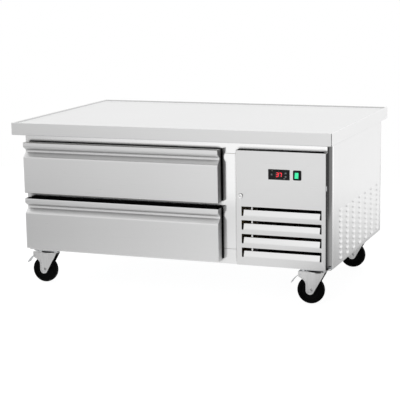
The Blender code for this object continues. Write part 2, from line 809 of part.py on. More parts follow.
def make_front_frame():
    body = rectangle((-BODY_X, BODY_X), (UNDER_HEIGHT, BODY_TOP))
    opening = [
        (OPEN_LEFT, OPEN_BOTTOM),
        (MACHINE_OPEN_LEFT, OPEN_BOTTOM),
        (MACHINE_OPEN_LEFT, MACHINE_OPEN_BOTTOM),
        (MACHINE_OPEN_RIGHT, MACHINE_OPEN_BOTTOM),
        (MACHINE_OPEN_RIGHT, OPEN_TOP),
        (OPEN_LEFT, OPEN_TOP),
    ]
    frame = extruded(
        "front_frame", [body, opening], "Y", (FRAME_Y, FRAME_Y + SHEET), "polished_steel"
    )
    top_tab = FRONT_TOP + GAP
    bottom_tab = PANEL_BOTTOM - GAP - PIVOT_TAB_THICKNESS
    for end, tab, toward in (("top", top_tab, -1), ("bottom", bottom_tab, 1)):
        plate = box(
            f"{end}_pivot_tab",
            about(PIVOT_X, PIVOT_TAB_WIDTH),
            (PIVOT_Y - PIVOT_TAB_WIDTH / 2, FRAME_Y + SHEET / 2),
            (tab, tab + PIVOT_TAB_THICKNESS),
        )
        middle = tab + PIVOT_TAB_THICKNESS / 2
        pin = rod(
            f"{end}_pivot_pin",
            (PIVOT_X, PIVOT_Y, middle + toward * PIVOT_PIN_LENGTH / 2),
            PIVOT_PIN_RADIUS,
            PIVOT_PIN_LENGTH,
            "Z",
        )
        join(frame, plate, pin)


def make_mullion():
    outline = [
        (OPEN_RIGHT, FRAME_Y),
        (MACHINE_OPEN_LEFT - GAP, FRAME_Y),
        (MACHINE_OPEN_LEFT - GAP, FRAME_Y + SHEET),
        (OPEN_RIGHT + SHEET, FRAME_Y + SHEET),
        (OPEN_RIGHT + SHEET, FRAME_Y + MULLION_RETURN),
        (OPEN_RIGHT, FRAME_Y + MULLION_RETURN),
    ]
    extruded(
        "centre_mullion", [outline], "Z", (OPEN_BOTTOM + GAP, OPEN_TOP - GAP), "polished_steel"
    )


def make_divider():
    back = FRAME_Y + DIVIDER_DEPTH
    outline = [
        (FRAME_Y, DIVIDER_BOTTOM),
        (back, DIVIDER_BOTTOM),
        (back, DIVIDER_BOTTOM + SHEET),
        (FRAME_Y + SHEET, DIVIDER_BOTTOM + SHEET),
        (FRAME_Y + SHEET, DIVIDER_TOP - SHEET),
        (back, DIVIDER_TOP - SHEET),
        (back, DIVIDER_TOP),
        (FRAME_Y, DIVIDER_TOP),
    ]
    extruded(
        "drawer_divider", [outline], "X", (OPEN_LEFT + GAP, OPEN_RIGHT - GAP), "polished_steel"
    )


def louvre_places():
    rear = BACK_Y - LOUVRE_REAR_MARGIN
    pitch = (rear - FRAME_Y - LOUVRE_FRONT_MARGIN) / (LOUVRE_COLUMNS - 1)
    low = UNDER_HEIGHT + LOUVRE_BOTTOM_MARGIN
    return [
        (rear - column * pitch, low + row * LOUVRE_ROW_PITCH)
        for column in range(LOUVRE_COLUMNS)
        for row in range(LOUVRE_ROWS)
    ]


def raise_louvre(bm, corners, side):
    """Pushes a hood out of the sheet above a slit, closed by a cheek at each end."""
    low_front, low_rear, high_rear, high_front = corners
    along = math.copysign(LOUVRE_CHEEK, low_rear.co.y - low_front.co.y)
    top = bm.edges.get((high_front, high_rear))
    lip = drawn_out(bm, [top], lambda place: Vector((side * LOUVRE_PROUD, 0, -LOUVRE_HEIGHT)))
    lip.sort(key=lambda vert: abs(vert.co.y - high_front.co.y))
    lip[0].co.y += along
    lip[1].co.y -= along
    bmesh.ops.contextual_create(bm, geom=[high_front, lip[0], low_front])
    bmesh.ops.contextual_create(bm, geom=[high_rear, low_rear, lip[1]])


def make_side_panel(name, side, louvres):
    """A side sheet with its front and rear edges folded inwards."""
    bm = bmesh.new()
    front = BEHIND_FRAME
    rear = BACK_Y - LAYER
    outline = rectangle((front, rear), (UNDER_HEIGHT, BODY_TOP))
    corners = ring(bm, [(side * BODY_X, y, z) for y, z in outline])
    slits = []
    for y, z in louvres:
        slit = rectangle(about(y, LOUVRE_LENGTH), about(z, LOUVRE_HEIGHT))
        slits.append(ring(bm, [(side * BODY_X, *place) for place in slit]))
    bmesh.ops.triangle_fill(bm, use_beauty=True, edges=bm.edges[:], normal=(side, 0, 0))
    for slit in slits:
        raise_louvre(bm, slit, side)
    for start, end in ((0, 3), (1, 2)):
        edge = bm.edges.get((corners[start], corners[end]))
        drawn_out(bm, [edge], lambda place: Vector((-side * FLANGE, 0, 0)))
    panel = sheet(name, bm, SHEET, "satin_steel")
    panel.modifiers["wall"].use_even_offset = not louvres


def make_back_panel():
    right = BODY_X - VENT_RIGHT_MARGIN
    low = UNDER_HEIGHT + VENT_BOTTOM_MARGIN
    vents = [
        rectangle(
            about(right - column * VENT_COLUMN_PITCH, VENT_LENGTH),
            about(low + row * VENT_ROW_PITCH, VENT_HEIGHT),
        )
        for column in range(VENT_COLUMNS)
        for row in range(VENT_ROWS)
    ]
    gland = circle(
        (BODY_X - GLAND_INSET, UNDER_HEIGHT + GLAND_HEIGHT), GLAND_NECK_RADIUS + GAP, ROUND_STEPS
    )
    body = rectangle((-BODY_X, BODY_X), (UNDER_HEIGHT, BODY_TOP))
    extruded(
        "back_panel", [body, gland, *vents], "Y", (BACK_Y - SHEET, BACK_Y), "galvanised_steel"
    )


def make_base_pan():
    open_box(
        "base_pan",
        (LAYER - BODY_X, BODY_X - LAYER),
        (FRAME_Y + 2 * LAYER, BACK_Y - 2 * LAYER),
        (UNDER_HEIGHT, UNDER_HEIGHT + BASE_FLANGE),
        (0, 0, 1),
        SHEET,
        "galvanised_steel",
    )


def make_cold_box():
    """The liner and the foam around it."""
    liner_x = (LINER_LEFT - LINER_SHEET, LINER_RIGHT + LINER_SHEET)
    liner_y = (BEHIND_FRAME, LINER_REAR + LINER_SHEET)
    liner_z = (LINER_BOTTOM - LINER_SHEET, LINER_TOP + LINER_SHEET)
    open_box("liner", liner_x, liner_y, liner_z, (0, -1, 0), LINER_SHEET, "satin_steel")
    foam = box(
        "insulation",
        (2 * LAYER - BODY_X, MACHINE_LEFT),
        (FRAME_Y + 3 * LAYER, BACK_Y - 3 * LAYER),
        (UNDER_HEIGHT + LAYER, BODY_TOP),
        "foam",
    )
    cavity = box(
        "foam_cavity",
        (liner_x[0] - GAP, liner_x[1] + GAP),
        (liner_y[0] - OVERRUN, liner_y[1] + GAP),
        (liner_z[0] - GAP, liner_z[1] + GAP),
    )
    cut(foam, cavity)


# Drawers


def drawer_levels(index):
    """Bottom of the front, bottom and top of the opening, and top of the frame, lower drawer first."""
    bottom = FRONT_BOTTOM + index * (DRAWER_HEIGHT + DRAWER_SPACING)
    opening = ((OPEN_BOTTOM, DIVIDER_BOTTOM), (DIVIDER_TOP, OPEN_TOP))[index]
    return bottom, opening, opening[1] - FRAME_DROP


def make_drawer_front(name, bottom, opening):
    """A foamed front whose skin dips behind a lip along its top to make the pull."""
    top = bottom + DRAWER_HEIGHT
    recess = DRAWER_FACE + PULL_DEPTH
    outline = [
        (DRAWER_FACE, bottom),
        (DRAWER_BACK, bottom),
        (DRAWER_BACK, top),
        (DRAWER_FACE, top),
        (DRAWER_FACE, top - PULL_LIP),
        (recess, top - PULL_SPACE_TOP),
        (recess, top - PULL_SPACE_BOTTOM),
        (DRAWER_FACE, top - PULL_SPACE_BOTTOM - PULL_RUNOUT),
    ]
    front = extruded(f"{name}_front", [outline], "X", (DRAWER_LEFT, DRAWER_RIGHT), "satin_steel")
    soften(front, DRAWER_EDGE_RADIUS)
    plug = box(
        f"{name}_plug",
        (OPEN_LEFT + PLUG_CLEARANCE, OPEN_RIGHT - PLUG_CLEARANCE),
        (DRAWER_BACK - OVERRUN, DRAWER_BACK + PLUG_DEPTH),
        (opening[0] + PLUG_CLEARANCE, opening[1] - PLUG_CLEARANCE),
    )
    join(front, plug)
    return front


def make_gasket(name, bottom):
    inset = GASKET_INSET + GASKET_WIDTH
    top = bottom + DRAWER_HEIGHT
    outer = rectangle(
        (DRAWER_LEFT + GASKET_INSET, DRAWER_RIGHT - GASKET_INSET),
        (bottom + GASKET_INSET, top - GASKET_INSET),
    )
    inner = rectangle((DRAWER_LEFT + inset, DRAWER_RIGHT - inset), (bottom + inset, top - inset))
    span = (DRAWER_BACK + GAP, FRAME_Y - GAP)
    return extruded(f"{name}_gasket", [outer, inner], "Y", span, "rubber")


def channel(depths, middle, height, open_side):
    """The section of a rail: a web and two flanges, open towards the side."""
    web = depths[0] + SLIDE_SHEET if open_side > 0 else depths[1] - SLIDE_SHEET
    far = depths[1] if open_side > 0 else depths[0]
    near = depths[0] if open_side > 0 else depths[1]
    low, high = about(middle, height)
    return [
        (near, low),
        (far, low),
        (far, low + SLIDE_SHEET),
        (web, low + SLIDE_SHEET),
        (web, high - SLIDE_SHEET),
        (far, high - SLIDE_SHEET),
        (far, high),
        (near, high),
    ]


def from_wall(side, depths):
    """Turns distances from a side wall of the liner into places along X."""
    wall = LINER_LEFT if side < 0 else LINER_RIGHT
    return sorted(wall - side * depth for depth in depths)


def rail(name, side, depths, middle, height, open_side, span, finish=None):
    xs = from_wall(side, depths)
    outline = channel(xs, middle, height, -side * open_side)
    return extruded(name, [outline], "Y", span, finish)


def make_drawer_frame(name, top):
    """A folded deck with two pan bays and a skirt, and the slides' inner rails on its sides."""
    left = from_wall(-1, (FRAME_SIDE,))[0]
    right = from_wall(1, (FRAME_SIDE,))[0]
    middle = (left + right) / 2
    bar = BAY_BAR / 2
    xs = (left, left + BAY_SIDE_LEDGE, middle - bar, middle + bar, right - BAY_SIDE_LEDGE, right)
    ys = (FRAME_FRONT, FRAME_FRONT + BAY_END_LEDGE, FRAME_REAR - BAY_END_LEDGE, FRAME_REAR)
    bm = lined_grid(xs, ys, top)
    skirt = [edge for edge in bm.edges if edge.is_boundary]
    bays = [
        face
        for face in bm.faces
        if ys[1] < face.calc_center_median().y < ys[2]
        and (xs[1] < face.calc_center_median().x < xs[2] or xs[3] < face.calc_center_median().x < xs[4])
    ]
    bmesh.ops.delete(bm, geom=bays, context="FACES_ONLY")
    lips = [edge for edge in bm.edges if edge.is_boundary and edge not in skirt]
    drawn_out(bm, skirt, lambda place: Vector((0, 0, -FRAME_WEB)))
    drawn_out(bm, lips, lambda place: Vector((0, 0, -BAY_LIP)))
    frame = sheet(f"{name}_frame", bm, FRAME_SHEET, "satin_steel")
    for side, hand in ((-1, "left"), (1, "right")):
        inner = rail(
            f"{name}_{hand}_inner_rail",
            side,
            INNER_RAIL,
            top - FRAME_WEB / 2,
            INNER_HEIGHT,
            -1,
            SLIDE_SPAN,
        )
        join(frame, inner)
    return frame


def make_drawer(name, index):
    bottom, opening, frame_top = drawer_levels(index)
    front = make_drawer_front(name, bottom, opening)
    gasket = make_gasket(name, bottom)
    frame = make_drawer_frame(name, frame_top)
    slides = [
        rail(
            f"{name}_{hand}_slide",
            side,
            MIDDLE_RAIL,
            frame_top - FRAME_WEB / 2,
            MIDDLE_HEIGHT,
            1,
            SLIDE_SPAN,
            "zinc_plate",
        )
        for side, hand in ((-1, "left"), (1, "right"))
    ]
    middle_x = (DRAWER_LEFT + DRAWER_RIGHT) / 2
    drawer_place = (middle_x, DRAWER_FACE, bottom + DRAWER_HEIGHT / 2)
    slide_place = (middle_x, SLIDE_FRONT, frame_top - FRAME_WEB / 2)
    carry(joint_empty(f"{name}_travel", drawer_place), [front, gasket, frame])
    carry(joint_empty(f"{name}_slide_travel", slide_place), slides)


def make_slide_rack(hand, side):
    """Two outer rails on two straps that stand on the liner's floor against its wall."""
    rack, strap = (
        box(
            name,
            from_wall(side, (GAP, GAP + RACK_STRAP)),
            (start, start + RACK_STRAP_WIDTH),
            (LINER_BOTTOM + GAP, LINER_TOP - GAP),
            finish,
        )
        for name, start, finish in (
            (f"{hand}_slide_rack", SLIDE_SPAN[0] + RACK_STRAP_INSET, "zinc_plate"),
            (f"{hand}_rear_strap", SLIDE_SPAN[1] - RACK_STRAP_INSET - RACK_STRAP_WIDTH, None),
        )
    )
    for index, name in ((0, "lower"), (1, "upper")):
        middle = drawer_levels(index)[2] - FRAME_WEB / 2
        outer = rail(
            f"{name}_{hand}_outer_rail", side, OUTER_RAIL, middle, SLIDE_HEIGHT, 1, SLIDE_SPAN
        )
        join(rack, outer)
    join(rack, strap)


# Service panel and controls


def flap_tops():
    return [FLAP_TOP - index * FLAP_PITCH for index in range(FLAP_COUNT)]


def fitting(x, width, height):
    """A hole in the panel that a body of the given size passes through."""
    return rectangle(about(x, width + 2 * GAP), about(BEZEL_Z, height + 2 * GAP))


def make_service_panel():
    """A tray of sheet with lanced flaps, and holes for the controls, the lock and the pivots."""
    bm = bmesh.new()
    outline = rectangle((PANEL_LEFT, PANEL_RIGHT), (PANEL_BOTTOM, FRONT_TOP))
    border = ring(bm, [(x, PANEL_FACE, z) for x, z in outline])
    left = PANEL_LEFT + FLAP_SIDE_MARGIN
    right = PANEL_RIGHT - FLAP_RIGHT_MARGIN
    roots = []
    for top in flap_tops():
        bottom = top - FLAP_SLOT
        slot = [
            (left, bottom),
            (left + FLAP_LEG, bottom),
            (right - FLAP_LEG, bottom),
            (right, bottom),
            (right, top),
            (left, top),
        ]
        verts = ring(bm, [(x, PANEL_FACE, z) for x, z in slot])
        roots.append(bm.edges.get((verts[1], verts[2])))
    holes = [
        fitting(BEZEL_X, CONTROL_BODY_WIDTH, CONTROL_BODY_HEIGHT),
        fitting(SWITCH_X, SWITCH_BODY_WIDTH, SWITCH_BODY_HEIGHT),
        circle((LOCK_X, LOCK_Z), LOCK_BODY_RADIUS + GAP, ROUND_STEPS),
    ]
    for hole in holes:
        ring(bm, [(x, PANEL_FACE, z) for x, z in hole])
    bmesh.ops.triangle_fill(bm, use_beauty=True, edges=bm.edges[:], normal=(0, -1, 0))
    bend = Vector((0, FLAP_LENGTH * math.sin(FLAP_ANGLE), FLAP_LENGTH * math.cos(FLAP_ANGLE)))
    for root in roots:
        drawn_out(bm, [root], lambda place: bend)
    rim = [bm.edges.get((start, end)) for start, end in zip(border, border[1:] + border[:1])]
    drawn_out(bm, rim, lambda place: Vector((0, PANEL_BACK - PANEL_FACE, 0)))
    panel = sheet("service_panel", bm, SHEET, "satin_steel")
    pivot_holes = rod(
        "pivot_holes",
        (PIVOT_X, PIVOT_Y, (FRONT_TOP + PANEL_BOTTOM) / 2),
        PIVOT_HOLE_RADIUS,
        FRONT_TOP - PANEL_BOTTOM + 2 * OVERRUN,
        "Z",
    )
    cut(panel, pivot_holes)
    return panel


def make_lock():
    cam_front = FRAME_Y + LAYER
    cam_back = cam_front + LOCK_CAM_THICKNESS
    head_front = CONTROL_BACK - LOCK_HEAD_THICKNESS
    profile = [
        (0, cam_back + GAP),
        (LOCK_BODY_RADIUS, cam_back + GAP),
        (LOCK_BODY_RADIUS, CONTROL_BACK),
        (LOCK_HEAD_RADIUS, CONTROL_BACK),
        (LOCK_HEAD_RADIUS, head_front + LOCK_HEAD_CHAMFER),
        (LOCK_HEAD_RADIUS - LOCK_HEAD_CHAMFER, head_front),
        (0, head_front),
    ]
    lock = turned("panel_lock", profile, (LOCK_X, 0, LOCK_Z), "Y", "zinc_plate")
    cam = box(
        "lock_cam",
        about(LOCK_X, LOCK_CAM_WIDTH),
        (cam_front, cam_back),
        (LOCK_Z - LOCK_CAM_LENGTH, LOCK_Z),
    )
    join(lock, cam)
    axis = joint_empty("lock_axis", (LOCK_X, PANEL_FACE, LOCK_Z))
    carry(axis, [lock])
    return axis


def key_places():
    return {
        "key_set": (BEZEL_X - KEY_OFFSET, BEZEL_Z),
        "key_up": (BEZEL_X + KEY_OFFSET, BEZEL_Z + KEY_RISE),
        "key_down": (BEZEL_X + KEY_OFFSET, BEZEL_Z - KEY_RISE),
    }


def make_controller():
    """A bezel on the panel with its body behind, pockets for three keys and a seat for the window."""
    housing = box(
        "controller_housing",
        about(BEZEL_X, BEZEL_WIDTH),
        (BEZEL_FRONT, CONTROL_BACK),
        about(BEZEL_Z, BEZEL_HEIGHT),
        "black_plastic",
    )
    soften(housing, BEZEL_CHAMFER)
    body = box(
        "controller_body",
        about(BEZEL_X, CONTROL_BODY_WIDTH),
        (CONTROL_BACK - BEZEL_PROUD / 2, PANEL_FACE + CONTROL_BODY_DEPTH),
        about(BEZEL_Z, CONTROL_BODY_HEIGHT),
    )
    join(housing, body)
    seat = box(
        "window_seat",
        about(BEZEL_X, WINDOW_WIDTH + 2 * GAP),
        (BEZEL_FRONT - OVERRUN, BEZEL_FRONT + WINDOW_THICKNESS + GAP),
        about(BEZEL_Z, WINDOW_HEIGHT + 2 * GAP),
    )
    cut(housing, seat)
    window = box(
        "controller_window",
        about(BEZEL_X, WINDOW_WIDTH),
        (BEZEL_FRONT, BEZEL_FRONT + WINDOW_THICKNESS),
        about(BEZEL_Z, WINDOW_HEIGHT),
        "dark_glass",
    )
    keys = []
    for name, (x, z) in key_places().items():
        pocket = box(
            f"{name}_pocket",
            about(x, KEY_WIDTH + 2 * GAP),
            (BEZEL_FRONT - OVERRUN, BEZEL_FRONT + KEY_POCKET_DEPTH),
            about(z, KEY_HEIGHT + 2 * GAP),
        )
        cut(housing, pocket)
        front = BEZEL_FRONT - KEY_PROUD
        depths = (front, front + KEY_THICKNESS)
        key = box(name, about(x, KEY_WIDTH), depths, about(z, KEY_HEIGHT), "grey_key")
        soften(key, KEY_EDGE_RADIUS, 1)
        keys.append(key)
    return [housing, window, *keys]


def make_switch():
    """A bezel and body with a pocket, and a rocker on two trunnions tilted to its on side."""
    bezel = box(
        "switch_bezel",
        about(SWITCH_X, SWITCH_WIDTH),
        (SWITCH_FRONT, CONTROL_BACK),
        about(BEZEL_Z, SWITCH_HEIGHT),
        "black_plastic",
    )
    soften(bezel, BEZEL_CHAMFER)
    body = box(
        "switch_body",
        about(SWITCH_X, SWITCH_BODY_WIDTH),
        (CONTROL_BACK - SWITCH_PROUD / 2, PANEL_FACE + SWITCH_BODY_DEPTH),
        about(BEZEL_Z, SWITCH_BODY_HEIGHT),
    )
    pocket = box(
        "switch_pocket",
        about(SWITCH_X, ROCKER_WIDTH + 2 * GAP),
        (SWITCH_FRONT - OVERRUN, PANEL_FACE + SWITCH_POCKET_DEPTH),
        about(BEZEL_Z, ROCKER_HEIGHT + 2 * ROCKER_CLEARANCE),
    )
    reach = ROCKER_WIDTH + 2 * TRUNNION_LENGTH
    bearing = rod(
        "switch_bearing",
        (SWITCH_X, ROCKER_Y, BEZEL_Z),
        TRUNNION_RADIUS + GAP,
        reach + 2 * GAP,
        "X",
    )
    join(bezel, body)
    cut(bezel, pocket, bearing)
    half = ROCKER_HEIGHT / 2
    tip = -ROCKER_CREST - half * math.tan(ROCKER_TILT)
    section = [
        (tip, -half),
        (-ROCKER_SHOULDER, -half),
        (ROCKER_BACK, -ROCKER_BACK_HEIGHT / 2),
        (ROCKER_BACK, ROCKER_BACK_HEIGHT / 2),
        (-ROCKER_SHOULDER, half),
        (tip, half),
        (-ROCKER_CREST, 0),
    ]
    turn = Matrix.Rotation(ROCKER_TILT, 2)
    place = Vector((ROCKER_Y, BEZEL_Z))
    outline = [tuple(turn @ Vector(point) + place) for point in section]
    rocker = extruded("switch_rocker", [outline], "X", about(SWITCH_X, ROCKER_WIDTH), "green_lens")
    trunnions = rod("rocker_trunnions", (SWITCH_X, ROCKER_Y, BEZEL_Z), TRUNNION_RADIUS, reach, "X")
    join(rocker, trunnions)
    axis = joint_empty("rocker_axis", (SWITCH_X, ROCKER_Y, BEZEL_Z))
    carry(axis, [rocker])
    return [bezel, axis]


def make_panel_group():
    pieces = [make_service_panel(), make_lock(), *make_controller(), *make_switch()]
    carry(joint_empty("panel_axis", (PIVOT_X, PIVOT_Y, PANEL_BOTTOM)), pieces)


# Condensing unit


def make_coil(name, xs, ys, zs, fins):
    """Fins along -Y from a spine, between a thicker and longer plate at each end."""
    left, right = xs
    front, back = ys
    root = back - FIN_SPINE
    pitch = (right - left - 2 * END_PLATE) / (fins + 1)
    columns = [left, left + END_PLATE]
    for index in range(fins):
        columns += about(left + END_PLATE + (index + 1) * pitch, FIN_THICKNESS)
    columns += [right - END_PLATE, right]
    bm = lined_grid(columns, (front - END_PLATE_PROUD, front, root, back), sum(zs) / 2)
    spaces = []
    for face in bm.faces:
        x, y, _ = face.calc_center_median()
        strip = sum(column < x for column in columns) - 1
        between = strip % 2 == 1 and y < root
        beyond = 0 < strip < len(columns) - 2 and y < front
        if between or beyond:
            spaces.append(face)
    bmesh.ops.delete(bm, geom=spaces, context="FACES")
    coil = add_object(name, mesh_from(name, bm), "aluminium")
    height = coil.modifiers.new("height", "SOLIDIFY")
    height.thickness = zs[1] - zs[0]
    height.offset = 0
    return coil


def make_condenser():
    ys = (COIL_FRONT + END_PLATE_PROUD, COIL_BACK)
    zs = (TRAY_FLOOR, COIL_TOP)
    coil = make_coil("condenser_coil", (COIL_LEFT, COIL_RIGHT), ys, zs, COIL_FINS)
    pitch = COIL_HEIGHT / (BEND_COUNT + 1)
    middle_y = (ys[0] + ys[1]) / 2
    for index in range(BEND_COUNT):
        middle = Vector((COIL_RIGHT - OVERRUN / 2, middle_y, TRAY_FLOOR + (index + 1) * pitch))
        reach = OVERRUN / 2 + TUBE_RADIUS
        half = Vector((0, 0, BEND_CENTRE_RADIUS))
        out = Vector((reach + BEND_CENTRE_RADIUS - TUBE_RADIUS, 0, 0))
        route = (middle - half, middle - half + out, middle + half + out, middle + half)
        join(coil, tube(f"return_bend_{index}", route, TUBE_RADIUS))


def make_fan(name, centre, radius, finish):
    """A hub bored for its shaft, with curved and pitched blades."""
    bore = SHAFT_RADIUS + BORE_CLEARANCE
    half = FAN_HUB_LENGTH / 2
    profile = [(bore, half), (FAN_HUB_RADIUS, half), (FAN_HUB_RADIUS, -half), (bore, -half)]
    fan = turned(name, profile, centre, "Y", finish, closed=True)
    for index in range(FAN_BLADES):
        bm = bmesh.new()
        bmesh.ops.create_grid(bm, x_segments=2, y_segments=3, size=1)
        for vert in bm.verts:
            along = (vert.co.x + 1) / 2
            chord = vert.co.y
            reach = FAN_HUB_RADIUS - OVERRUN / 2 + along * (radius - FAN_HUB_RADIUS + OVERRUN / 2)
            angle = chord * BLADE_SPAN / 2 + math.tau * index / FAN_BLADES
            rise = chord * BLADE_PITCH_LENGTH / 2 + (1 - chord * chord) * BLADE_CAMBER
            vert.co = (reach * math.cos(angle), reach * math.sin(angle), rise)
        blade = add_object(f"{name}_blade_{index}", mesh_from(name, bm), None, centre, AXIS_TURNS["Y"])
        wall = blade.modifiers.new("wall", "SOLIDIFY")
        wall.thickness = BLADE_THICKNESS
        wall.offset = 0
        join(fan, blade)
    carry(joint_empty(f"{name}_axis", centre), [fan])


def motor_profile(radius, length, shaft_tip):
    """From the rear cap to the tip of the shaft, which points to -Y."""
    return [
        (0, length),
        (radius - MOTOR_SHOULDER, length),
        (radius, length - MOTOR_SHOULDER),
        (radius, MOTOR_SHOULDER),
        (radius - MOTOR_SHOULDER, 0),
        (MOTOR_BOSS_RADIUS, 0),
        (MOTOR_BOSS_RADIUS, -MOTOR_BOSS_LENGTH),
        (SHAFT_RADIUS, -MOTOR_BOSS_LENGTH),
        (SHAFT_RADIUS, -shaft_tip),
        (0, -shaft_tip),
    ]


def make_condenser_fan():
    open_box(
        "fan_shroud",
        (COIL_LEFT, COIL_RIGHT),
        (SHROUD_FRONT, SHROUD_BACK),
        (TRAY_FLOOR, COIL_TOP),
        (0, -1, 0),
        TRAY_SHEET,
        "galvanised_steel",
    )
    mouth = rod(
        "shroud_mouth", (FAN_X, SHROUD_BACK, FAN_Z), FAN_HOLE_RADIUS, 2 * OVERRUN, "Y", None, FINE_STEPS
    )
    cut(bpy.data.objects["fan_shroud"], mouth)
    make_fan("condenser_fan", (FAN_X, SHROUD_BACK, FAN_Z), FAN_RADIUS, "black_plastic")
    shaft_tip = MOTOR_Y - SHROUD_BACK + FAN_HUB_LENGTH / 2
    motor = turned(
        "condenser_fan_motor",
        motor_profile(MOTOR_RADIUS, MOTOR_LENGTH, shaft_tip),
        (FAN_X, MOTOR_Y, FAN_Z),
        "Y",
        "black_enamel",
    )
    foot = box(
        "motor_foot",
        about(FAN_X, MOTOR_FOOT_WIDTH),
        about(MOTOR_Y + MOTOR_LENGTH / 2, MOTOR_FOOT_LENGTH),
        (TRAY_FLOOR, FAN_Z - MOTOR_RADIUS / 2),
    )
    join(motor, foot)


def make_compressor():
    """A welded shell on a base plate with four feet, and its discharge line to the condenser."""
    bottom = TRAY_FLOOR + COMPRESSOR_LIFT
    top = bottom + COMPRESSOR_HEIGHT
    dome = COMPRESSOR_RADIUS / 2
    seam = bottom + COMPRESSOR_HEIGHT / 2
    shell_radius = COMPRESSOR_RADIUS - COMPRESSOR_SEAM
    dome_arc = [
        (shell_radius * math.cos(angle), top - dome + dome * math.sin(angle))
        for angle in (math.pi / 2 * (1 - step / CORNER_STEPS) for step in range(CORNER_STEPS + 1))
    ]
    dome_arc[0] = (0, top)
    foot_arc = [(radius, bottom + top - height) for radius, height in reversed(dome_arc)]
    profile = [
        *dome_arc,
        (shell_radius, seam + COMPRESSOR_SEAM_HEIGHT / 2),
        (COMPRESSOR_RADIUS, seam + COMPRESSOR_SEAM_HEIGHT / 2),
        (COMPRESSOR_RADIUS, seam - COMPRESSOR_SEAM_HEIGHT / 2),
        (shell_radius, seam - COMPRESSOR_SEAM_HEIGHT / 2),
        *foot_arc,
    ]
    compressor = turned("compressor", profile, (COMPRESSOR_X, COMPRESSOR_Y, 0), "Z", "black_enamel")
    plate_x = about(COMPRESSOR_X, BASE_PLATE_WIDTH)
    plate_y = about(COMPRESSOR_Y, BASE_PLATE_LENGTH)
    plate = box(
        "compressor_plate", plate_x, plate_y, (bottom + GAP, bottom + GAP + BASE_PLATE_THICKNESS)
    )
    join(compressor, plate)
    for x in (plate_x[0] + FOOT_INSET, plate_x[1] - FOOT_INSET):
        for y in (plate_y[0] + FOOT_INSET, plate_y[1] - FOOT_INSET):
            height = COMPRESSOR_LIFT + OVERRUN / 2
            foot_place = (x, y, TRAY_FLOOR + height / 2)
            foot = rod("compressor_foot", foot_place, FOOT_RADIUS, height, "Z", None, BOLT_STEPS)
            join(compressor, foot)
    line_x = COIL_RIGHT - DISCHARGE_INSET
    line_y = COMPRESSOR_Y - COMPRESSOR_RADIUS / 2
    line_z = COIL_TOP + DISCHARGE_RISE
    coil_y = (COIL_FRONT + COIL_BACK) / 2
    discharge = tube(
        "discharge_line",
        (
            (COMPRESSOR_X, line_y, top - dome),
            (COMPRESSOR_X, line_y, line_z),
            (line_x, line_y, line_z),
            (line_x, coil_y, line_z),
            (line_x, coil_y, COIL_TOP + GAP),
        ),
        TUBE_RADIUS,
    )
    join(compressor, discharge)


def make_refrigerant_lines():
    """The suction line, and the liquid line with its filter drier, whose end is soldered along it."""
    run_x = MACHINE_LEFT + SUCTION_RUN
    suction_y = COMPRESSOR_Y + SUCTION_OFFSET
    high = UNDER_HEIGHT + SUCTION_HEIGHT
    low = high - SUCTION_DROP
    shell = COMPRESSOR_X - COMPRESSOR_RADIUS + COMPRESSOR_SEAM - GAP
    lines = tube(
        "refrigerant_lines",
        (
            (MACHINE_LEFT + GAP, suction_y, high),
            (run_x, suction_y, high),
            (run_x, suction_y, low),
            (run_x, COMPRESSOR_Y, low),
            (shell, COMPRESSOR_Y, low),
        ),
        SUCTION_RADIUS,
        "copper",
    )
    liquid_z = TRAY_FLOOR + LIQUID_HEIGHT
    coil_y = (COIL_FRONT + COIL_BACK) / 2
    beside = suction_y + SUCTION_RADIUS + LIQUID_RADIUS - SOLDER_LAP
    liquid = tube(
        "liquid_line",
        (
            (COIL_LEFT - GAP, coil_y, liquid_z),
            (run_x, coil_y, liquid_z),
            (run_x, beside, liquid_z),
            (run_x, beside, high - BEND_CENTRE_RADIUS),
        ),
        LIQUID_RADIUS,
    )
    drier_start = coil_y + DRIER_SETBACK
    drier_end = drier_start + DRIER_LENGTH
    profile = [
        (0, drier_end),
        (LIQUID_RADIUS + SOLDER_LAP, drier_end),
        (DRIER_RADIUS, drier_end - DRIER_SHOULDER),
        (DRIER_RADIUS, drier_start + DRIER_SHOULDER),
        (LIQUID_RADIUS + SOLDER_LAP, drier_start),
        (0, drier_start),
    ]
    drier = turned("filter_drier", profile, (run_x, 0, liquid_z), "Y", None, SMALL_STEPS)
    join(lines, liquid, drier)


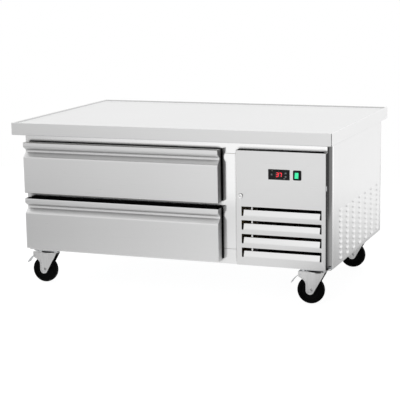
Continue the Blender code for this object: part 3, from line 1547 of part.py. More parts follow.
def make_machine_parts():
    open_box(
        "unit_tray",
        (MACHINE_LEFT + TRAY_INSET, MACHINE_RIGHT - TRAY_INSET),
        (FRAME_Y + TRAY_SETBACK, TRAY_REAR),
        (MACHINE_FLOOR, MACHINE_FLOOR + TRAY_FLANGE),
        (0, 0, 1),
        TRAY_SHEET,
        "galvanised_steel",
    )
    electrical_box = box(
        "electrical_box",
        (MACHINE_LEFT + GAP, MACHINE_LEFT + GAP + BOX_DEPTH),
        (FRAME_Y + BOX_SETBACK, FRAME_Y + BOX_SETBACK + BOX_LENGTH),
        (BODY_TOP - BOX_DROP - BOX_HEIGHT, BODY_TOP - BOX_DROP),
        "galvanised_steel",
    )
    soften(electrical_box, BOX_EDGE_RADIUS)
    open_box(
        "condensate_pan",
        (MACHINE_LEFT + PAN_INSET, MACHINE_RIGHT - PAN_INSET),
        (PAN_FRONT, PAN_REAR),
        (MACHINE_FLOOR, MACHINE_FLOOR + PAN_HEIGHT),
        (0, 0, 1),
        TRAY_SHEET,
        "galvanised_steel",
    )
    profile = [
        (GLAND_BORE_RADIUS, BACK_Y + GLAND_REACH),
        (GLAND_NECK_RADIUS, BACK_Y + GLAND_REACH),
        (GLAND_RADIUS, BACK_Y + GAP + GLAND_FLANGE),
        (GLAND_RADIUS, BACK_Y + GAP),
        (GLAND_NECK_RADIUS, BACK_Y + GAP),
        (GLAND_NECK_RADIUS, BACK_Y - GLAND_TAIL),
        (GLAND_BORE_RADIUS, BACK_Y - GLAND_TAIL),
    ]
    gland_place = (BODY_X - GLAND_INSET, 0, UNDER_HEIGHT + GLAND_HEIGHT)
    turned("cord_gland", profile, gland_place, "Y", "black_plastic", closed=True)


# Evaporator


def make_evaporator():
    left = LINER_LEFT + EVAPORATOR_LEFT_INSET
    right = LINER_RIGHT - EVAPORATOR_RIGHT_INSET
    top = LINER_TOP - EVAPORATOR_TOP_INSET
    bottom = top - EVAPORATOR_HEIGHT
    face = LINER_REAR - EVAPORATOR_DEPTH
    back = LINER_REAR - GAP
    cover = open_box(
        "evaporator_cover", (left, right), (face, back), (bottom, top), (0, 1, 0), SHEET, "satin_steel"
    )
    fan_x = right - COLD_FAN_INSET
    fan_z = (bottom + top) / 2
    mouth_place = (fan_x, face, fan_z)
    mouth = rod(
        "evaporator_mouth", mouth_place, COLD_FAN_HOLE_RADIUS, 2 * OVERRUN, "Y", None, FINE_STEPS
    )
    coil_x = (left + COLD_COIL_INSET, fan_x - COLD_FAN_HOLE_RADIUS - COLD_COIL_CLEARANCE)
    slots = [
        rectangle(
            (coil_x[0] + COLD_SLOT_MARGIN, coil_x[1] - COLD_SLOT_MARGIN),
            about(fan_z + (index - (COLD_SLOT_COUNT - 1) / 2) * COLD_SLOT_PITCH, COLD_SLOT_HEIGHT),
        )
        for index in range(COLD_SLOT_COUNT)
    ]
    inlet = extruded("evaporator_inlet", slots, "Y", (face - OVERRUN, face + OVERRUN))
    cut(cover, mouth, inlet)
    coil_y = (back - COLD_COIL_DEPTH + END_PLATE_PROUD, back)
    coil_z = about(fan_z, COLD_COIL_HEIGHT)
    make_coil("evaporator_coil", coil_x, coil_y, coil_z, COLD_COIL_FINS)
    motor_y = back - COLD_MOTOR_LENGTH
    fan_y = motor_y - MOTOR_BOSS_LENGTH - FAN_STANDOFF - FAN_HUB_LENGTH / 2
    turned(
        "evaporator_fan_motor",
        motor_profile(MOTOR_RADIUS, COLD_MOTOR_LENGTH, motor_y - fan_y + FAN_HUB_LENGTH / 2),
        (fan_x, motor_y, fan_z),
        "Y",
        "black_enamel",
    )
    make_fan("evaporator_fan", (fan_x, fan_y, fan_z), COLD_FAN_RADIUS, "white_plastic")


# Casters, drawn about a kingpin on the Z axis


def settled(obj):
    """The object's mesh with its tools applied, after which the object and those tools are removed."""
    graph = bpy.context.evaluated_depsgraph_get()
    mesh = bpy.data.meshes.new_from_object(obj.evaluated_get(graph), depsgraph=graph)
    tools = [modifier.object for modifier in obj.modifiers if modifier.type == "BOOLEAN"]
    for used in [obj, *tools]:
        bpy.data.objects.remove(used, do_unlink=True)
    return mesh


def caster_plate_mesh():
    """A top plate with four bolt holes, the race below it and the kingpin that holds the fork."""
    top = UNDER_HEIGHT - GAP
    bottom = top - PLATE_THICKNESS
    half_x = PLATE_LENGTH / 2
    half_y = PLATE_WIDTH / 2
    holes = [
        circle((x, y), PLATE_HOLE_RADIUS, BOLT_STEPS)
        for x in (PLATE_HOLE_INSET - half_x, half_x - PLATE_HOLE_INSET)
        for y in (PLATE_HOLE_INSET - half_y, half_y - PLATE_HOLE_INSET)
    ]
    outline = rectangle((-half_x, half_x), (-half_y, half_y))
    plate = extruded("plate_pattern", [outline, *holes], "Z", (bottom, top))
    race = bottom - RACE_HEIGHT
    head = FORK_UNDERSIDE - GAP
    profile = [
        (0, bottom + PLATE_THICKNESS / 2),
        (RACE_RADIUS - RACE_STEP, bottom + PLATE_THICKNESS / 2),
        (RACE_RADIUS - RACE_STEP, bottom - RACE_STEP),
        (RACE_RADIUS, bottom - RACE_STEP),
        (RACE_RADIUS, race),
        (KINGPIN_RADIUS, race),
        (KINGPIN_RADIUS, head),
        (KINGPIN_HEAD_RADIUS, head),
        (KINGPIN_HEAD_RADIUS, head - KINGPIN_HEAD),
        (0, head - KINGPIN_HEAD),
    ]
    join(plate, turned("race_pattern", profile, (0, 0, 0), "Z", None, RACE_STEPS))
    mesh = settled(plate)
    mesh.transform(Matrix.Translation((0, 0, (bottom + top) / 2)))
    return mesh


def fork_mesh(braked):
    """A pressed yoke: a side outline drawn across, hollowed for the wheel, with the axle through it."""
    axle = (-FORK_TRAIL, WHEEL_RADIUS)
    eye = arc(axle, FORK_EYE_RADIUS, FORK_EYE_START, FORK_EYE_END, 2 * CORNER_STEPS)
    outline = [
        *eye,
        (axle[0] + FORK_FRONT_REACH, FORK_TOP - FORK_FRONT_DROP),
        (axle[0] + FORK_FRONT_REACH, FORK_TOP),
        (axle[0] - FORK_REAR_REACH, FORK_TOP),
        (axle[0] - FORK_REAR_REACH, FORK_TOP - FORK_REAR_DROP),
        (axle[0] - FORK_EYE_RADIUS, axle[1] + FORK_WAIST),
    ]
    fork = extruded("fork_pattern", [outline], "Y", (-FORK_OUTSIDE, FORK_OUTSIDE))
    soften(fork, FORK_EDGE_RADIUS, 1)
    hollow = box(
        "fork_hollow",
        (axle[0] - FORK_REAR_REACH - OVERRUN, axle[0] + FORK_FRONT_REACH + OVERRUN),
        (-FORK_INSIDE, FORK_INSIDE),
        (axle[1] - FORK_EYE_RADIUS - OVERRUN, FORK_UNDERSIDE),
    )
    crown = (0, 0, FORK_TOP - FORK_SHEET / 2)
    bore = rod("kingpin_bore", crown, KINGPIN_RADIUS + GAP, FORK_SHEET + OVERRUN, "Z")
    cut(fork, hollow, bore)
    if braked:
        pivot = (axle[0] - PEDAL_PIVOT_BACK, 0, axle[1] + PEDAL_PIVOT_RISE)
        cut(
            fork,
            rod("pedal_bearing", pivot, PEDAL_PIN_RADIUS + GAP, 2 * (FORK_OUTSIDE + OVERRUN), "Y"),
        )
    width = 2 * FORK_INSIDE + FORK_LEG
    join(fork, rod("axle", (axle[0], 0, axle[1]), AXLE_RADIUS, width, "Y", None, ROUND_STEPS))
    turn = Matrix.Rotation(math.pi / 2, 4, "X")
    mesh = settled(fork)
    mesh.transform(turn)
    return mesh


def wheel_mesh():
    """A moulded wheel with a rounded tread, dished cheeks and a bored hub."""
    half = WHEEL_WIDTH / 2
    rolling = WHEEL_RADIUS / math.cos(math.pi / ROUND_STEPS)
    bore = AXLE_RADIUS + GAP
    dish = half - WHEEL_CHEEK_DEPTH
    near = [
        (bore, half),
        (WHEEL_HUB_RADIUS, half),
        (WHEEL_HUB_RADIUS, dish),
        (WHEEL_RIM_RADIUS, dish),
        (WHEEL_RIM_RADIUS + WHEEL_CHEEK_DEPTH, half),
        (rolling - WHEEL_SHOULDER / 2, half),
        (rolling, half - WHEEL_SHOULDER),
    ]
    far = [(radius, -place) for radius, place in reversed(near)]
    wheel = turned("wheel_pattern", [*near, *far], (0, 0, 0), "Z", None, ROUND_STEPS, closed=True)
    mesh = settled(wheel)
    half_step = Matrix.Rotation(math.pi / ROUND_STEPS, 4, "Z")
    mesh.transform(Matrix.Rotation(-math.pi / 2, 4, "X") @ half_step)
    return mesh


def pedal_mesh():
    """A bent strip that swings on a pin through the fork, seen from the pin."""
    knee = (PEDAL_PIVOT_BACK - PEDAL_KNEE_BACK, PEDAL_KNEE_RISE - PEDAL_PIVOT_RISE)
    tip = (PEDAL_PIVOT_BACK - PEDAL_TIP_BACK, PEDAL_TIP_RISE - PEDAL_PIVOT_RISE)
    route = [Vector((0, 0)), Vector(knee), Vector(tip)]
    outline = []
    for side in (1, -1):
        edge = []
        for index, place in enumerate(route):
            before = route[max(index - 1, 0)]
            after = route[min(index + 1, len(route) - 1)]
            run = (after - before).normalized()
            edge.append(tuple(place + side * PEDAL_THICKNESS / 2 * Vector((-run.y, run.x))))
        outline += edge[::side]
    pedal = extruded("pedal_pattern", [outline], "Y", about(0, PEDAL_WIDTH))
    pin = rod("pedal_pin", (0, 0, 0), PEDAL_PIN_RADIUS, 2 * FORK_OUTSIDE, "Y")
    join(pedal, pin)
    mesh = settled(pedal)
    mesh.transform(Matrix.Rotation(math.pi / 2, 4, "X"))
    return mesh


def make_casters():
    plate = caster_plate_mesh()
    forks = {True: fork_mesh(True), False: fork_mesh(False)}
    wheel = wheel_mesh()
    pedal = pedal_mesh()
    for end, y in (("front", CASTER_FRONT_Y), ("rear", CASTER_REAR_Y)):
        for hand, side in (("left", -1), ("right", 1)):
            corner = f"{end}_{hand}"
            braked = end == "front"
            kingpin = (side * CASTER_X, y, 0)
            axle = (kingpin[0] - FORK_TRAIL, y, WHEEL_RADIUS)
            add_object(f"{corner}_caster_plate", plate.copy(), "zinc_plate", kingpin)
            fork = add_object(f"{corner}_caster_fork", forks[braked].copy(), "zinc_plate", kingpin)
            rolling = add_object(f"{corner}_caster_wheel", wheel.copy(), "rubber", axle)
            swivel = joint_empty(f"{corner}_swivel", (kingpin[0], y, FORK_TOP))
            pieces = [fork, rolling]
            if braked:
                pivot = (axle[0] - PEDAL_PIVOT_BACK, y, axle[2] + PEDAL_PIVOT_RISE)
                pieces.append(
                    add_object(f"{corner}_brake_pedal", pedal.copy(), "zinc_plate", pivot)
                )
            carry(swivel, pieces)


make_worktop()
make_core()
make_front_frame()
make_mullion()
make_divider()
make_side_panel("left_side_panel", -1, [])
make_side_panel("right_side_panel", 1, louvre_places())
make_back_panel()
make_base_pan()
make_cold_box()
make_drawer("lower_drawer", 0)
make_drawer("upper_drawer", 1)
make_slide_rack("left", -1)
make_slide_rack("right", 1)
make_panel_group()
make_condenser()
make_condenser_fan()
make_compressor()
make_refrigerant_lines()
make_machine_parts()
make_evaporator()
make_casters()
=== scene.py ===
"""Dresses the refrigerated chef base: skins, casters, controls, machine parts, finishes and studio.

The CAD solids are loaded as a fixed frame. Each operator below builds one piece or group of like
pieces around them, in metres, and the whole file can be read as an add-on with a sidebar panel.
"""

import json
import math

import bmesh
import bpy
from bpy.props import FloatProperty, FloatVectorProperty, PointerProperty
from bpy.types import Operator, Panel, PropertyGroup
from mathutils import Matrix, Vector


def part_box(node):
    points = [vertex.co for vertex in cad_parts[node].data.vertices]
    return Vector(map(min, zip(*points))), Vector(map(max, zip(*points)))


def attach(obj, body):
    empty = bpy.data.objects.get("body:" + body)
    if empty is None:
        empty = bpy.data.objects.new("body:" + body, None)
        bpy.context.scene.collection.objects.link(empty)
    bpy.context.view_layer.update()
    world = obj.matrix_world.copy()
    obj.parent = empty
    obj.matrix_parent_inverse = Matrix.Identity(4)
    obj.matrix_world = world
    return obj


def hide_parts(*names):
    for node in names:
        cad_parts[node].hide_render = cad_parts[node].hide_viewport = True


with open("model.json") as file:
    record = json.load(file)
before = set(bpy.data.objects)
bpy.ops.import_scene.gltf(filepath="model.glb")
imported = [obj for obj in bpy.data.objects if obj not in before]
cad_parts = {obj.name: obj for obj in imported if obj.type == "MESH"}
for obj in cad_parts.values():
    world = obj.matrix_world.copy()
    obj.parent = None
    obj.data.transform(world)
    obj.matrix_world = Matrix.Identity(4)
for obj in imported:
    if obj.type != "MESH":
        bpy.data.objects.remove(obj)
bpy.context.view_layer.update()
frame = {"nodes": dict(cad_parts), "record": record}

bl_info = {
    "name": "Refrigerated Chef Base",
    "version": (1, 0, 0),
    "blender": (4, 5, 0),
    "location": "View3D > Sidebar > Chef Base",
    "description": "Builds a refrigerated chef base with drawers, casters and a condensing unit",
    "category": "Add Mesh",
}

# Painted shade in the gaps between sheets: how far walls count, and the share of light left in the
# deepest ones
CAVITY_REACH = 0.045
CAVITY_SPAN = (0.205, 0.755, 0.08)
FRAME_SHADE_SPAN = (0.56, 0.88, 0.15)
TOP_SHADE_SPAN = (0.55, 1.15, 0.10)

# The floor as the camera sees it, and its glow as the metal sees it, a painted reflection: by place
# across the front and towards the back, and by bearing in degrees round the front right corner;
# then the light of the ceiling
FLOOR_SHOWN = 0.95
FLOOR_FRONT_LEVELS = (
    (-2.2, 0.32),
    (2.2, 0.10),
    (-1.3, 0.32),
    (0.1, 0.76),
    (0.35, 0.74),
    (0.62, 0.10),
)
FLOOR_SIDE_LEVELS = (
    (-180, 1.2),
    (180, 1.2),
    (-92, 1.2),
    (-80, 0.12),
    (-25, 0.05),
    (-2, 0.05),
    (6, 0.19),
    (46, 0.22),
    (58, 1.2),
)
FLOOR_BACK_LEVELS = ((-2.2, 0.46), (2.2, 1.04), (0.4, 0.46), (1.2, 0.82), (1.9, 1.02))
FLOOR_BLEND = (-0.3, 0.1)
FLOOR_ROUGHNESS = 0.9
FLOOR_BOUNCE = 0.18
CEILING_LEVEL = 1.24
CEILING_SPAN = (0.22, 0.52)

# Light of the studio by bearing in degrees, where 0 is +X, 90 the backdrop and -90 the front
STUDIO_LEVELS = (
    (-180, 0.90),
    (180, 0.90),
    (-150, 0.60),
    (-125, 0.48),
    (-119, 0.55),
    (-115, 0.86),
    (-110, 1.05),
    (-104, 1.14),
    (-95, 1.02),
    (-86, 0.55),
    (-78, 0.16),
    (-60, 0.08),
    (-25, 0.05),
    (-2, 0.05),
    (6, 0.19),
    (44, 0.22),
    (54, 1.05),
    (62, 1.20),
    (85, 1.13),
    (105, 0.93),
    (130, 0.92),
    (160, 0.97),
)

# Patterns of the finishes: belt grain and mottle of the stainless sheet, the spread of its
# roughness, and the spread on the other metals
GRAIN_WIDTH = 0.0015
GRAIN_LENGTH = 0.150
GRAIN_DEPTH = 0.000008
MOTTLE = 0.40
BELT_SPREAD = 0.05
GLOSS_SHARES = (0.85, 1.15)

# Zinc crystals, haze in the lit lenses, and a pale and a dark pair of plies
SPANGLE = 0.009
SPANGLE_TONES = (0.86, 1.1)
SPANGLE_GLOSS = (0.30, 0.46)
LENS_HAZE = 0.006
PLY_BAND = 0.006

# Names and steps shared by the pieces
CORNERS = ("front_left", "front_right", "rear_left", "rear_right")
DRAWERS = ("upper_drawer", "lower_drawer")
SHARP_ANGLE = math.radians(40)
WELD = 0.00001
REST_GAP = 0.0001
EDGE_STEPS = 3
ROUND_STEPS = 48
SMALL_STEPS = 20

# Worktop sheet, measured from the outside of its apron
TOP_SHEET = 0.0015
TOP_RETURN = 0.014
RIM_FLAT = 0.006
RIM_RAMP = 0.005
RIM_RISE = 0.004
TOP_FOLD_RADIUS = 0.0024
FOLD_ANGLE = math.radians(20)

# Drawer skin, from the top of the front down
FRONT_THICKNESS = 0.034
PULL_LIP = 0.0176
PULL_SLANT = 0.0125
PULL_RECESS = 0.0078
PULL_RUNOUT = 0.0190
PULL_DEPTH = 0.0214
SKIN_RADIUS = 0.004
SKIN_EDGE = 0.0008
INNER_CLEARANCE = 0.0025
INNER_EDGE = 0.001
INNER_DRAFT = 0.004
INNER_CROWN = 0.006

# Gasket: half of its profile, as insets from its side and shares of its depth
GASKET_WIDTH = 0.011
GASKET_PROFILE = (
    (0.0010, 1),
    (0, 0.85),
    (0, 0.60),
    (0.0016, 0.50),
    (0.0026, 0.40),
    (0.0014, 0.28),
    (0.0014, 0),
)

# Front frame: its openings, the side sheet's rolled corner at its right end, seams and pivot tabs
OPENING_LEFT = -0.572
OPENING_BOTTOM = 0.1912
OPENING_TOP = 0.5455
MACHINE_OPENING_LEFT = 0.2643
MACHINE_OPENING_RIGHT = 0.5886
MACHINE_OPENING_BOTTOM = 0.150
RAIL_LIP = 0.1425
ROLL_LEFT = 0.5938
ROLL_RADIUS = 0.045
ROLL_TURN = math.radians(45)
ROLL_STEPS = 12
FRAME_EDGE = 0.0004
SEAM_EASE = 0.0005
TOP_EDGE = 0.004
PIVOT_X = 0.5896
PIVOT_HALF = 0.006
PIVOT_GAP = 0.0003
PIVOT_THICKNESS = 0.002
PIVOT_CORNER = 0.003
PIVOT_EDGE = 0.0003

# Side panel and its louvres
SHEET = 0.0012
SIDE_FOLD = 0.012
LOUVRE_COLUMNS = 7
LOUVRE_ROWS = 10
LOUVRE_LENGTH = 0.045
LOUVRE_HEIGHT = 0.010
LOUVRE_PROUD = 0.004
LOUVRE_REAR_INSET = 0.0535
LOUVRE_RISE = 0.021
LOUVRE_COLUMN_PITCH = 0.0932
LOUVRE_ROW_PITCH = 0.020

# Service panel and its flaps
PANEL_FOLD_RADIUS = 0.0012
PANEL_FOLD_SHARE = 0.3
FLAP_COUNT = 4
FLAP_DROP = 0.2049
FLAP_PITCH = 0.0507
FLAP_SLOT = 0.035
FLAP_LEG = 0.0070
FLAP_LENGTH = 0.0230
FLAP_ANGLE = math.radians(20)
FLAP_BENDS = ((0.0012, 0.3), (0.0012, 0.6), (0.0012, 0.9), (FLAP_LENGTH - 0.0036, 1))
FLAP_LEFT_INSET = 0.0194
FLAP_RIGHT_INSET = 0.0155
RIB_INSET = 0.0535
RIB_WIDTH = 0.0058
RIB_SETBACK = 0.0097
RIB_RISE = 0.018
RIB_FOOT = 0.006
RIB_EDGE = 0.0003
# A black strip of painted shade along the panel's hinged side
SHADE_STRIP_PROUD = 0.0006
SHADE_STRIP_SETBACK = 0.0004
SHADE_STRIP_END = 0.002
SHADE_STRIP_EDGE = 0.0002
CLIP_RISE = 0.2870
CLIP_LENGTH = 0.0180
CLIP_LAP = 0.0012
CLIP_PROUD = 0.0009
CLIP_SETBACK = 0.0008
CLIP_DEPTH = 0.0120
CLIP_EDGE = 0.0006

# Coils; real fins stand 2 mm apart
FIN_PITCH = 0.003
FIN_SHEET = 0.0003
FIN_INSET = 0.002
COIL_TUBE = 0.0045
COIL_COLUMN_SHARES = (0.3, 0.7)
END_PLATE = 0.0012
TUBE_STEPS = 10
CONDENSER_ROWS = 8
CONDENSER_BEND_REACH = 0.0195
EVAPORATOR_ROWS = 6

# Casters, measured from the axle
CASTER_TRAIL = 0.020
PLATE_THICKNESS = 0.004
BOLT_INSET = 0.011
BOLT_ACROSS = 0.013
BOLT_HEAD = 0.005
HEAD_CROWN_SHARE = 0.8
HEAD_CHAMFER_SHARE = 0.86
PLATE_CORNER = 0.006
PLATE_EDGE = 0.0006

# Swivel race: radii and drops below the plate, from the middle out and back to the kingpin's nut
RACE_PROFILE = (
    (0, 0),
    (0.027, 0),
    (0.028, 0.0035),
    (0.032, 0.0045),
    (0.0325, 0.0070),
    (0.031, 0.0088),
    (0.006, 0.0088),
    (0.006, 0.0140),
    (0.010, 0.0145),
    (0.009, 0.0185),
    (0, 0.0190),
)

# Wheel: half of each profile, as radii and places from the middle of the tyre, and as radii and
# depths below the hub's face of the core
WHEEL_RADIUS = 0.0508
WHEEL_WIDTH = 0.030
TYRE_PROFILE = (
    (0.0370, 0.0115),
    (0.0395, 0.0132),
    (0.0410, 0.0150),
    (0.0425, 0.0144),
    (0.0455, 0.0144),
    (0.0478, 0.0128),
    (0.0496, 0.0100),
    (0.0505, 0.0062),
    (WHEEL_RADIUS, 0.0020),
)
CORE_PROFILE = (
    (0.0063, 0),
    (0.0120, 0),
    (0.0135, 0.0012),
    (0.0140, 0.0055),
    (0.0200, 0.0062),
    (0.0300, 0.0062),
    (0.0335, 0.0045),
    (0.0350, 0.0028),
    (0.0372, 0.0028),
)

# Fork: the eye of its legs with its sweep in degrees, their corners, and what the axle carries
EYE_RADIUS = 0.0155
EYE_START = 180
EYE_SWEEP = 150
EYE_STEPS = 14
FORK_CORNERS = (0.003, 0.002, 0.002, 0.004, 0.014)
FORK_FRONT_REACH = 0.054
FORK_FRONT_DROP = 0.0066
FORK_REAR_REACH = 0.044
FORK_REAR_DROP = 0.0206
FORK_WAIST = 0.034
FORK_INSIDE = 0.0165
FORK_LEG = 0.0025
FORK_PRESSING = 0.0007
FORK_MARGIN = 0.0045
PRESSING_SHARES = (1.6, 0.2, 0.4)
CROWN_THICKNESS = 0.004
CROWN_EDGE = 0.0018
CROWN_RADIUS = 0.029
CROWN_BORE = 0.0075
AXLE_RADIUS = 0.006
AXLE_HEAD = 0.0045
WASHER_RADIUS = 0.0095
WASHER_THICKNESS = 0.0012

# Brake lever: its route across and up from its pin
LEVER_PIVOT_BACK = 0.036
LEVER_PIVOT_RISE = 0.056
LEVER_ROUTE = (
    (0.004, 0.002),
    (-0.010, -0.002),
    (-0.022, -0.012),
    (-0.032, -0.024),
    (-0.037, -0.0325),
)
LEVER_BEND = 0.008
LEVER_EDGE = 0.0006
LEVER_THICKNESS = 0.0022
LEVER_WIDTH = 0.026
LEVER_PIN = 0.003

# Controller: its bezel as insets and setbacks, its case behind the panel and its window
SEAT_GAP = 0.0003
FACE_SINK = 0.0006
FACE_INSET = 0.0030
BEZEL_PROFILE = (
    (0, 0.0012),
    (0.0004, 0.0004),
    (0.0012, 0),
    (0.0022, 0),
    (0.0026, FACE_SINK),
    (0.0032, FACE_SINK),
)
CASE_INSET = 0.004
CASE_EDGE = 0.001
PANE_HALF = 0.0004
PANE_EDGE = 0.0002

# Keys of the controller, the depth and the gap that their travel needs, and their raised marks
KEYS = ("key_set", "key_up", "key_down")
KEY_TRAVEL = 0.0015
KEY_CLEARANCE = 0.00015
KEY_EDGE = 0.0008
KEY_MARK_RISE = 0.0003
KEY_MARK_SHARE = 0.28
KEY_BAR_HALF = 0.0004
KEY_ARROW_SHARE = 0.7

# Printed marks of the controller
MARK_INSET = 0.0145
MARK_REACH = 0.0019
MARK_WIDTH = 0.0006
MARK_SPAN = (0.0004, 0.0007)
BROAD_MARK_SHARE = 1.6
LAMP_REACH_SHARE = 0.6
BAR_REACH_SHARE = 2
BAR_INSET_SHARE = 1.3

# Switch: its bezel and case, its rocker and the black margins round the lens
SWITCH_INSET = 0.002
SWITCH_CORNER = 0.004
SWITCH_CASE_SETBACK = 0.010
ROCKER_LAP = 0.0008
ROCKER_END_GAP = 0.0014
ROCKER_SIDE_INSET = 0.0014
ROCKER_CREST = 0.0004
ROCKER_SINK = 0.0016
ROCKER_TAPER = 0.004
ROCKER_CURVE = 0.0025
ROCKER_EDGE = 0.0005
ROCKER_MARGIN = 0.0018
ROCKER_HINGE_MARGIN = 0.0050
LENS_PROUD = 0.0004
LENS_FOOT = 0.0040
LENS_CURVE = 0.0010
LENS_EDGE = 0.0003

# Lock: its face as shares of its radius and setbacks, its cam and its keyway
LOCK_LAP = 0.001
LOCK_FACE_SHARES = (
    (0, 0),
    (0.62, 0),
    (0.68, 0.0003),
    (0.72, 0),
    (0.94, 0),
    (1, 0.0006),
    (1, 0.0022),
)
BARREL_SHARE = 0.85
BARREL_SETBACK = 0.0022
BARREL_END = 0.0004
CAM_TOP_HALF = 0.0075
CAM_END_HALF = 0.0050
CAM_RISE = 0.006
CAM_CORNER = 0.003
CAM_SHEET = 0.002
KEYWAY_HALF_WIDTH = 0.0006
KEYWAY_HALF_HEIGHT = 0.003
KEYWAY_CORNER = 0.0003
KEYWAY_SPAN = (-0.00005, 0.0004)

# Digits of the controller
DIGIT_WIDTH = 0.0080
DIGIT_HEIGHT = 0.0138
DIGIT_BAR = 0.0024
DIGIT_INSET = 0.0028
DIGIT_SPACE = 0.0036
DIGIT_LEAN_SHARE = 0.12
DIGIT_THICKNESS = 0.0003


def hex_colour(code):
    """An sRGB hex colour as linear red, green and blue."""
    levels = [int(code[place : place + 2], 16) / 255 for place in (1, 3, 5)]
    return [
        level / 12.92 if level <= 0.04045 else ((level + 0.055) / 1.055) ** 2.4 for level in levels
    ]


# Settings


class ChefBaseFinishes(PropertyGroup):
    satin_steel: FloatVectorProperty(
        name="Satin steel",
        description="Colour of the brushed stainless sheet",
        subtype="COLOR",
        default=hex_colour("#EBEBEB"),
    )
    polished_steel: FloatVectorProperty(
        name="Polished steel",
        description="Colour of the bright front frame",
        subtype="COLOR",
        default=hex_colour("#F4F4F4"),
    )
    lens: FloatVectorProperty(
        name="Switch lens",
        description="Colour of the lit rocker",
        subtype="COLOR",
        default=hex_colour("#2FDC9A"),
    )
    digits: FloatVectorProperty(
        name="Digits",
        description="Colour of the lit digits",
        subtype="COLOR",
        default=hex_colour("#FF2038"),
    )
    satin_roughness: FloatProperty(
        name="Satin roughness",
        description="Roughness of the brushed sheet",
        default=0.30,
        min=0.05,
        max=1.0,
    )


class ChefBaseStage(PropertyGroup):
    camera_place: FloatVectorProperty(
        name="Camera",
        description="Where the camera stands",
        subtype="TRANSLATION",
        unit="LENGTH",
        default=(1.8236, -4.7117, 1.2389),
    )
    camera_turn: FloatVectorProperty(
        name="Turn",
        description="Turn to the left, tilt down and roll of the camera",
        subtype="EULER",
        unit="ROTATION",
        default=(0.3743, -0.1838, -0.016665),
    )
    lens_length: FloatProperty(
        name="Focal length",
        description="Focal length on a 36 mm wide sensor, in millimetres",
        default=116.72,
    )
    floor_size: FloatProperty(
        name="Floor",
        description="Width of the studio floor",
        unit="LENGTH",
        default=4.4,
    )


class ChefBaseSettings(PropertyGroup):
    finishes: PointerProperty(type=ChefBaseFinishes)
    stage: PointerProperty(type=ChefBaseStage)


# Nodes and finishes


def add_node(tree, kind, values=None, links=None, **settings):
    """Adds a node, sets its properties and inputs, and links other nodes' outputs into it."""
    node = tree.nodes.new(kind)
    for name, value in settings.items():
        setattr(node, name, value)
    for name, value in (values or {}).items():
        node.inputs[name].default_value = value
    for name, output in (links or {}).items():
        tree.links.new(output, node.inputs[name])
    return node


def new_material(name, colour, roughness, metallic=0.0, **sockets):
    """A material whose uniform values are set on the shader's own sockets."""
    material = bpy.data.materials.new(name)
    material.use_nodes = True
    shader = material.node_tree.nodes["Principled BSDF"]
    shader.inputs["Base Color"].default_value = (*colour, 1.0)
    shader.inputs["Roughness"].default_value = roughness
    shader.inputs["Metallic"].default_value = metallic
    for socket, value in sockets.items():
        shader.inputs[socket.replace("_", " ").title()].default_value = value
    return material, material.node_tree, shader


def shaded(colour, share):
    return (*[min(1.0, level * share) for level in colour], 1.0)


def shade_cavities(tree, shader, colour, reach, span):
    """Paints shade into a metal's colour and edge tint in narrow gaps, where the walls close in."""
    # Painted shade: walls within the reach dim the colour and the edge tint
    depth = add_node(
        tree, "ShaderNodeAmbientOcclusion", {"Distance": reach}, None, samples=16
    )
    share = add_node(
        tree,
        "ShaderNodeMapRange",
        {"From Min": span[0], "From Max": span[1], "To Min": span[2], "To Max": 1.0},
        {"Value": depth.outputs["AO"]},
        interpolation_type="SMOOTHSTEP",
    )
    dimmed = add_node(
        tree,
        "ShaderNodeMix",
        {0: 1.0},
        {6: colour, 7: share.outputs["Result"]},
        data_type="RGBA",
        blend_type="MULTIPLY",
    )
    tree.links.new(dimmed.outputs[2], shader.inputs["Base Color"])
    tree.links.new(share.outputs["Result"], shader.inputs["Specular Tint"])


def add_relief(tree, shader, height, depth, strength=1.0):
    """Lets a pattern's height disturb the surface by a real depth."""
    bump = add_node(
        tree,
        "ShaderNodeBump",
        {"Strength": strength, "Distance": depth},
        {"Height": height},
    )
    tree.links.new(bump.outputs["Normal"], shader.inputs["Normal"])


def vary(tree, shader, pattern, colour, shares, polish):
    """Lets a pattern shift the tone of a colour between two shares, and the roughness likewise."""
    paint = add_node(
        tree,
        "ShaderNodeMix",
        {6: shaded(colour, shares[0]), 7: shaded(colour, shares[1])},
        {0: pattern[0]},
        data_type="RGBA",
    )
    tree.links.new(paint.outputs[2], shader.inputs["Base Color"])
    gloss = add_node(
        tree,
        "ShaderNodeMapRange",
        {"To Min": polish[0], "To Max": polish[1]},
        {"Value": pattern[1]},
    )
    tree.links.new(gloss.outputs["Result"], shader.inputs["Roughness"])
    return paint.outputs[2]


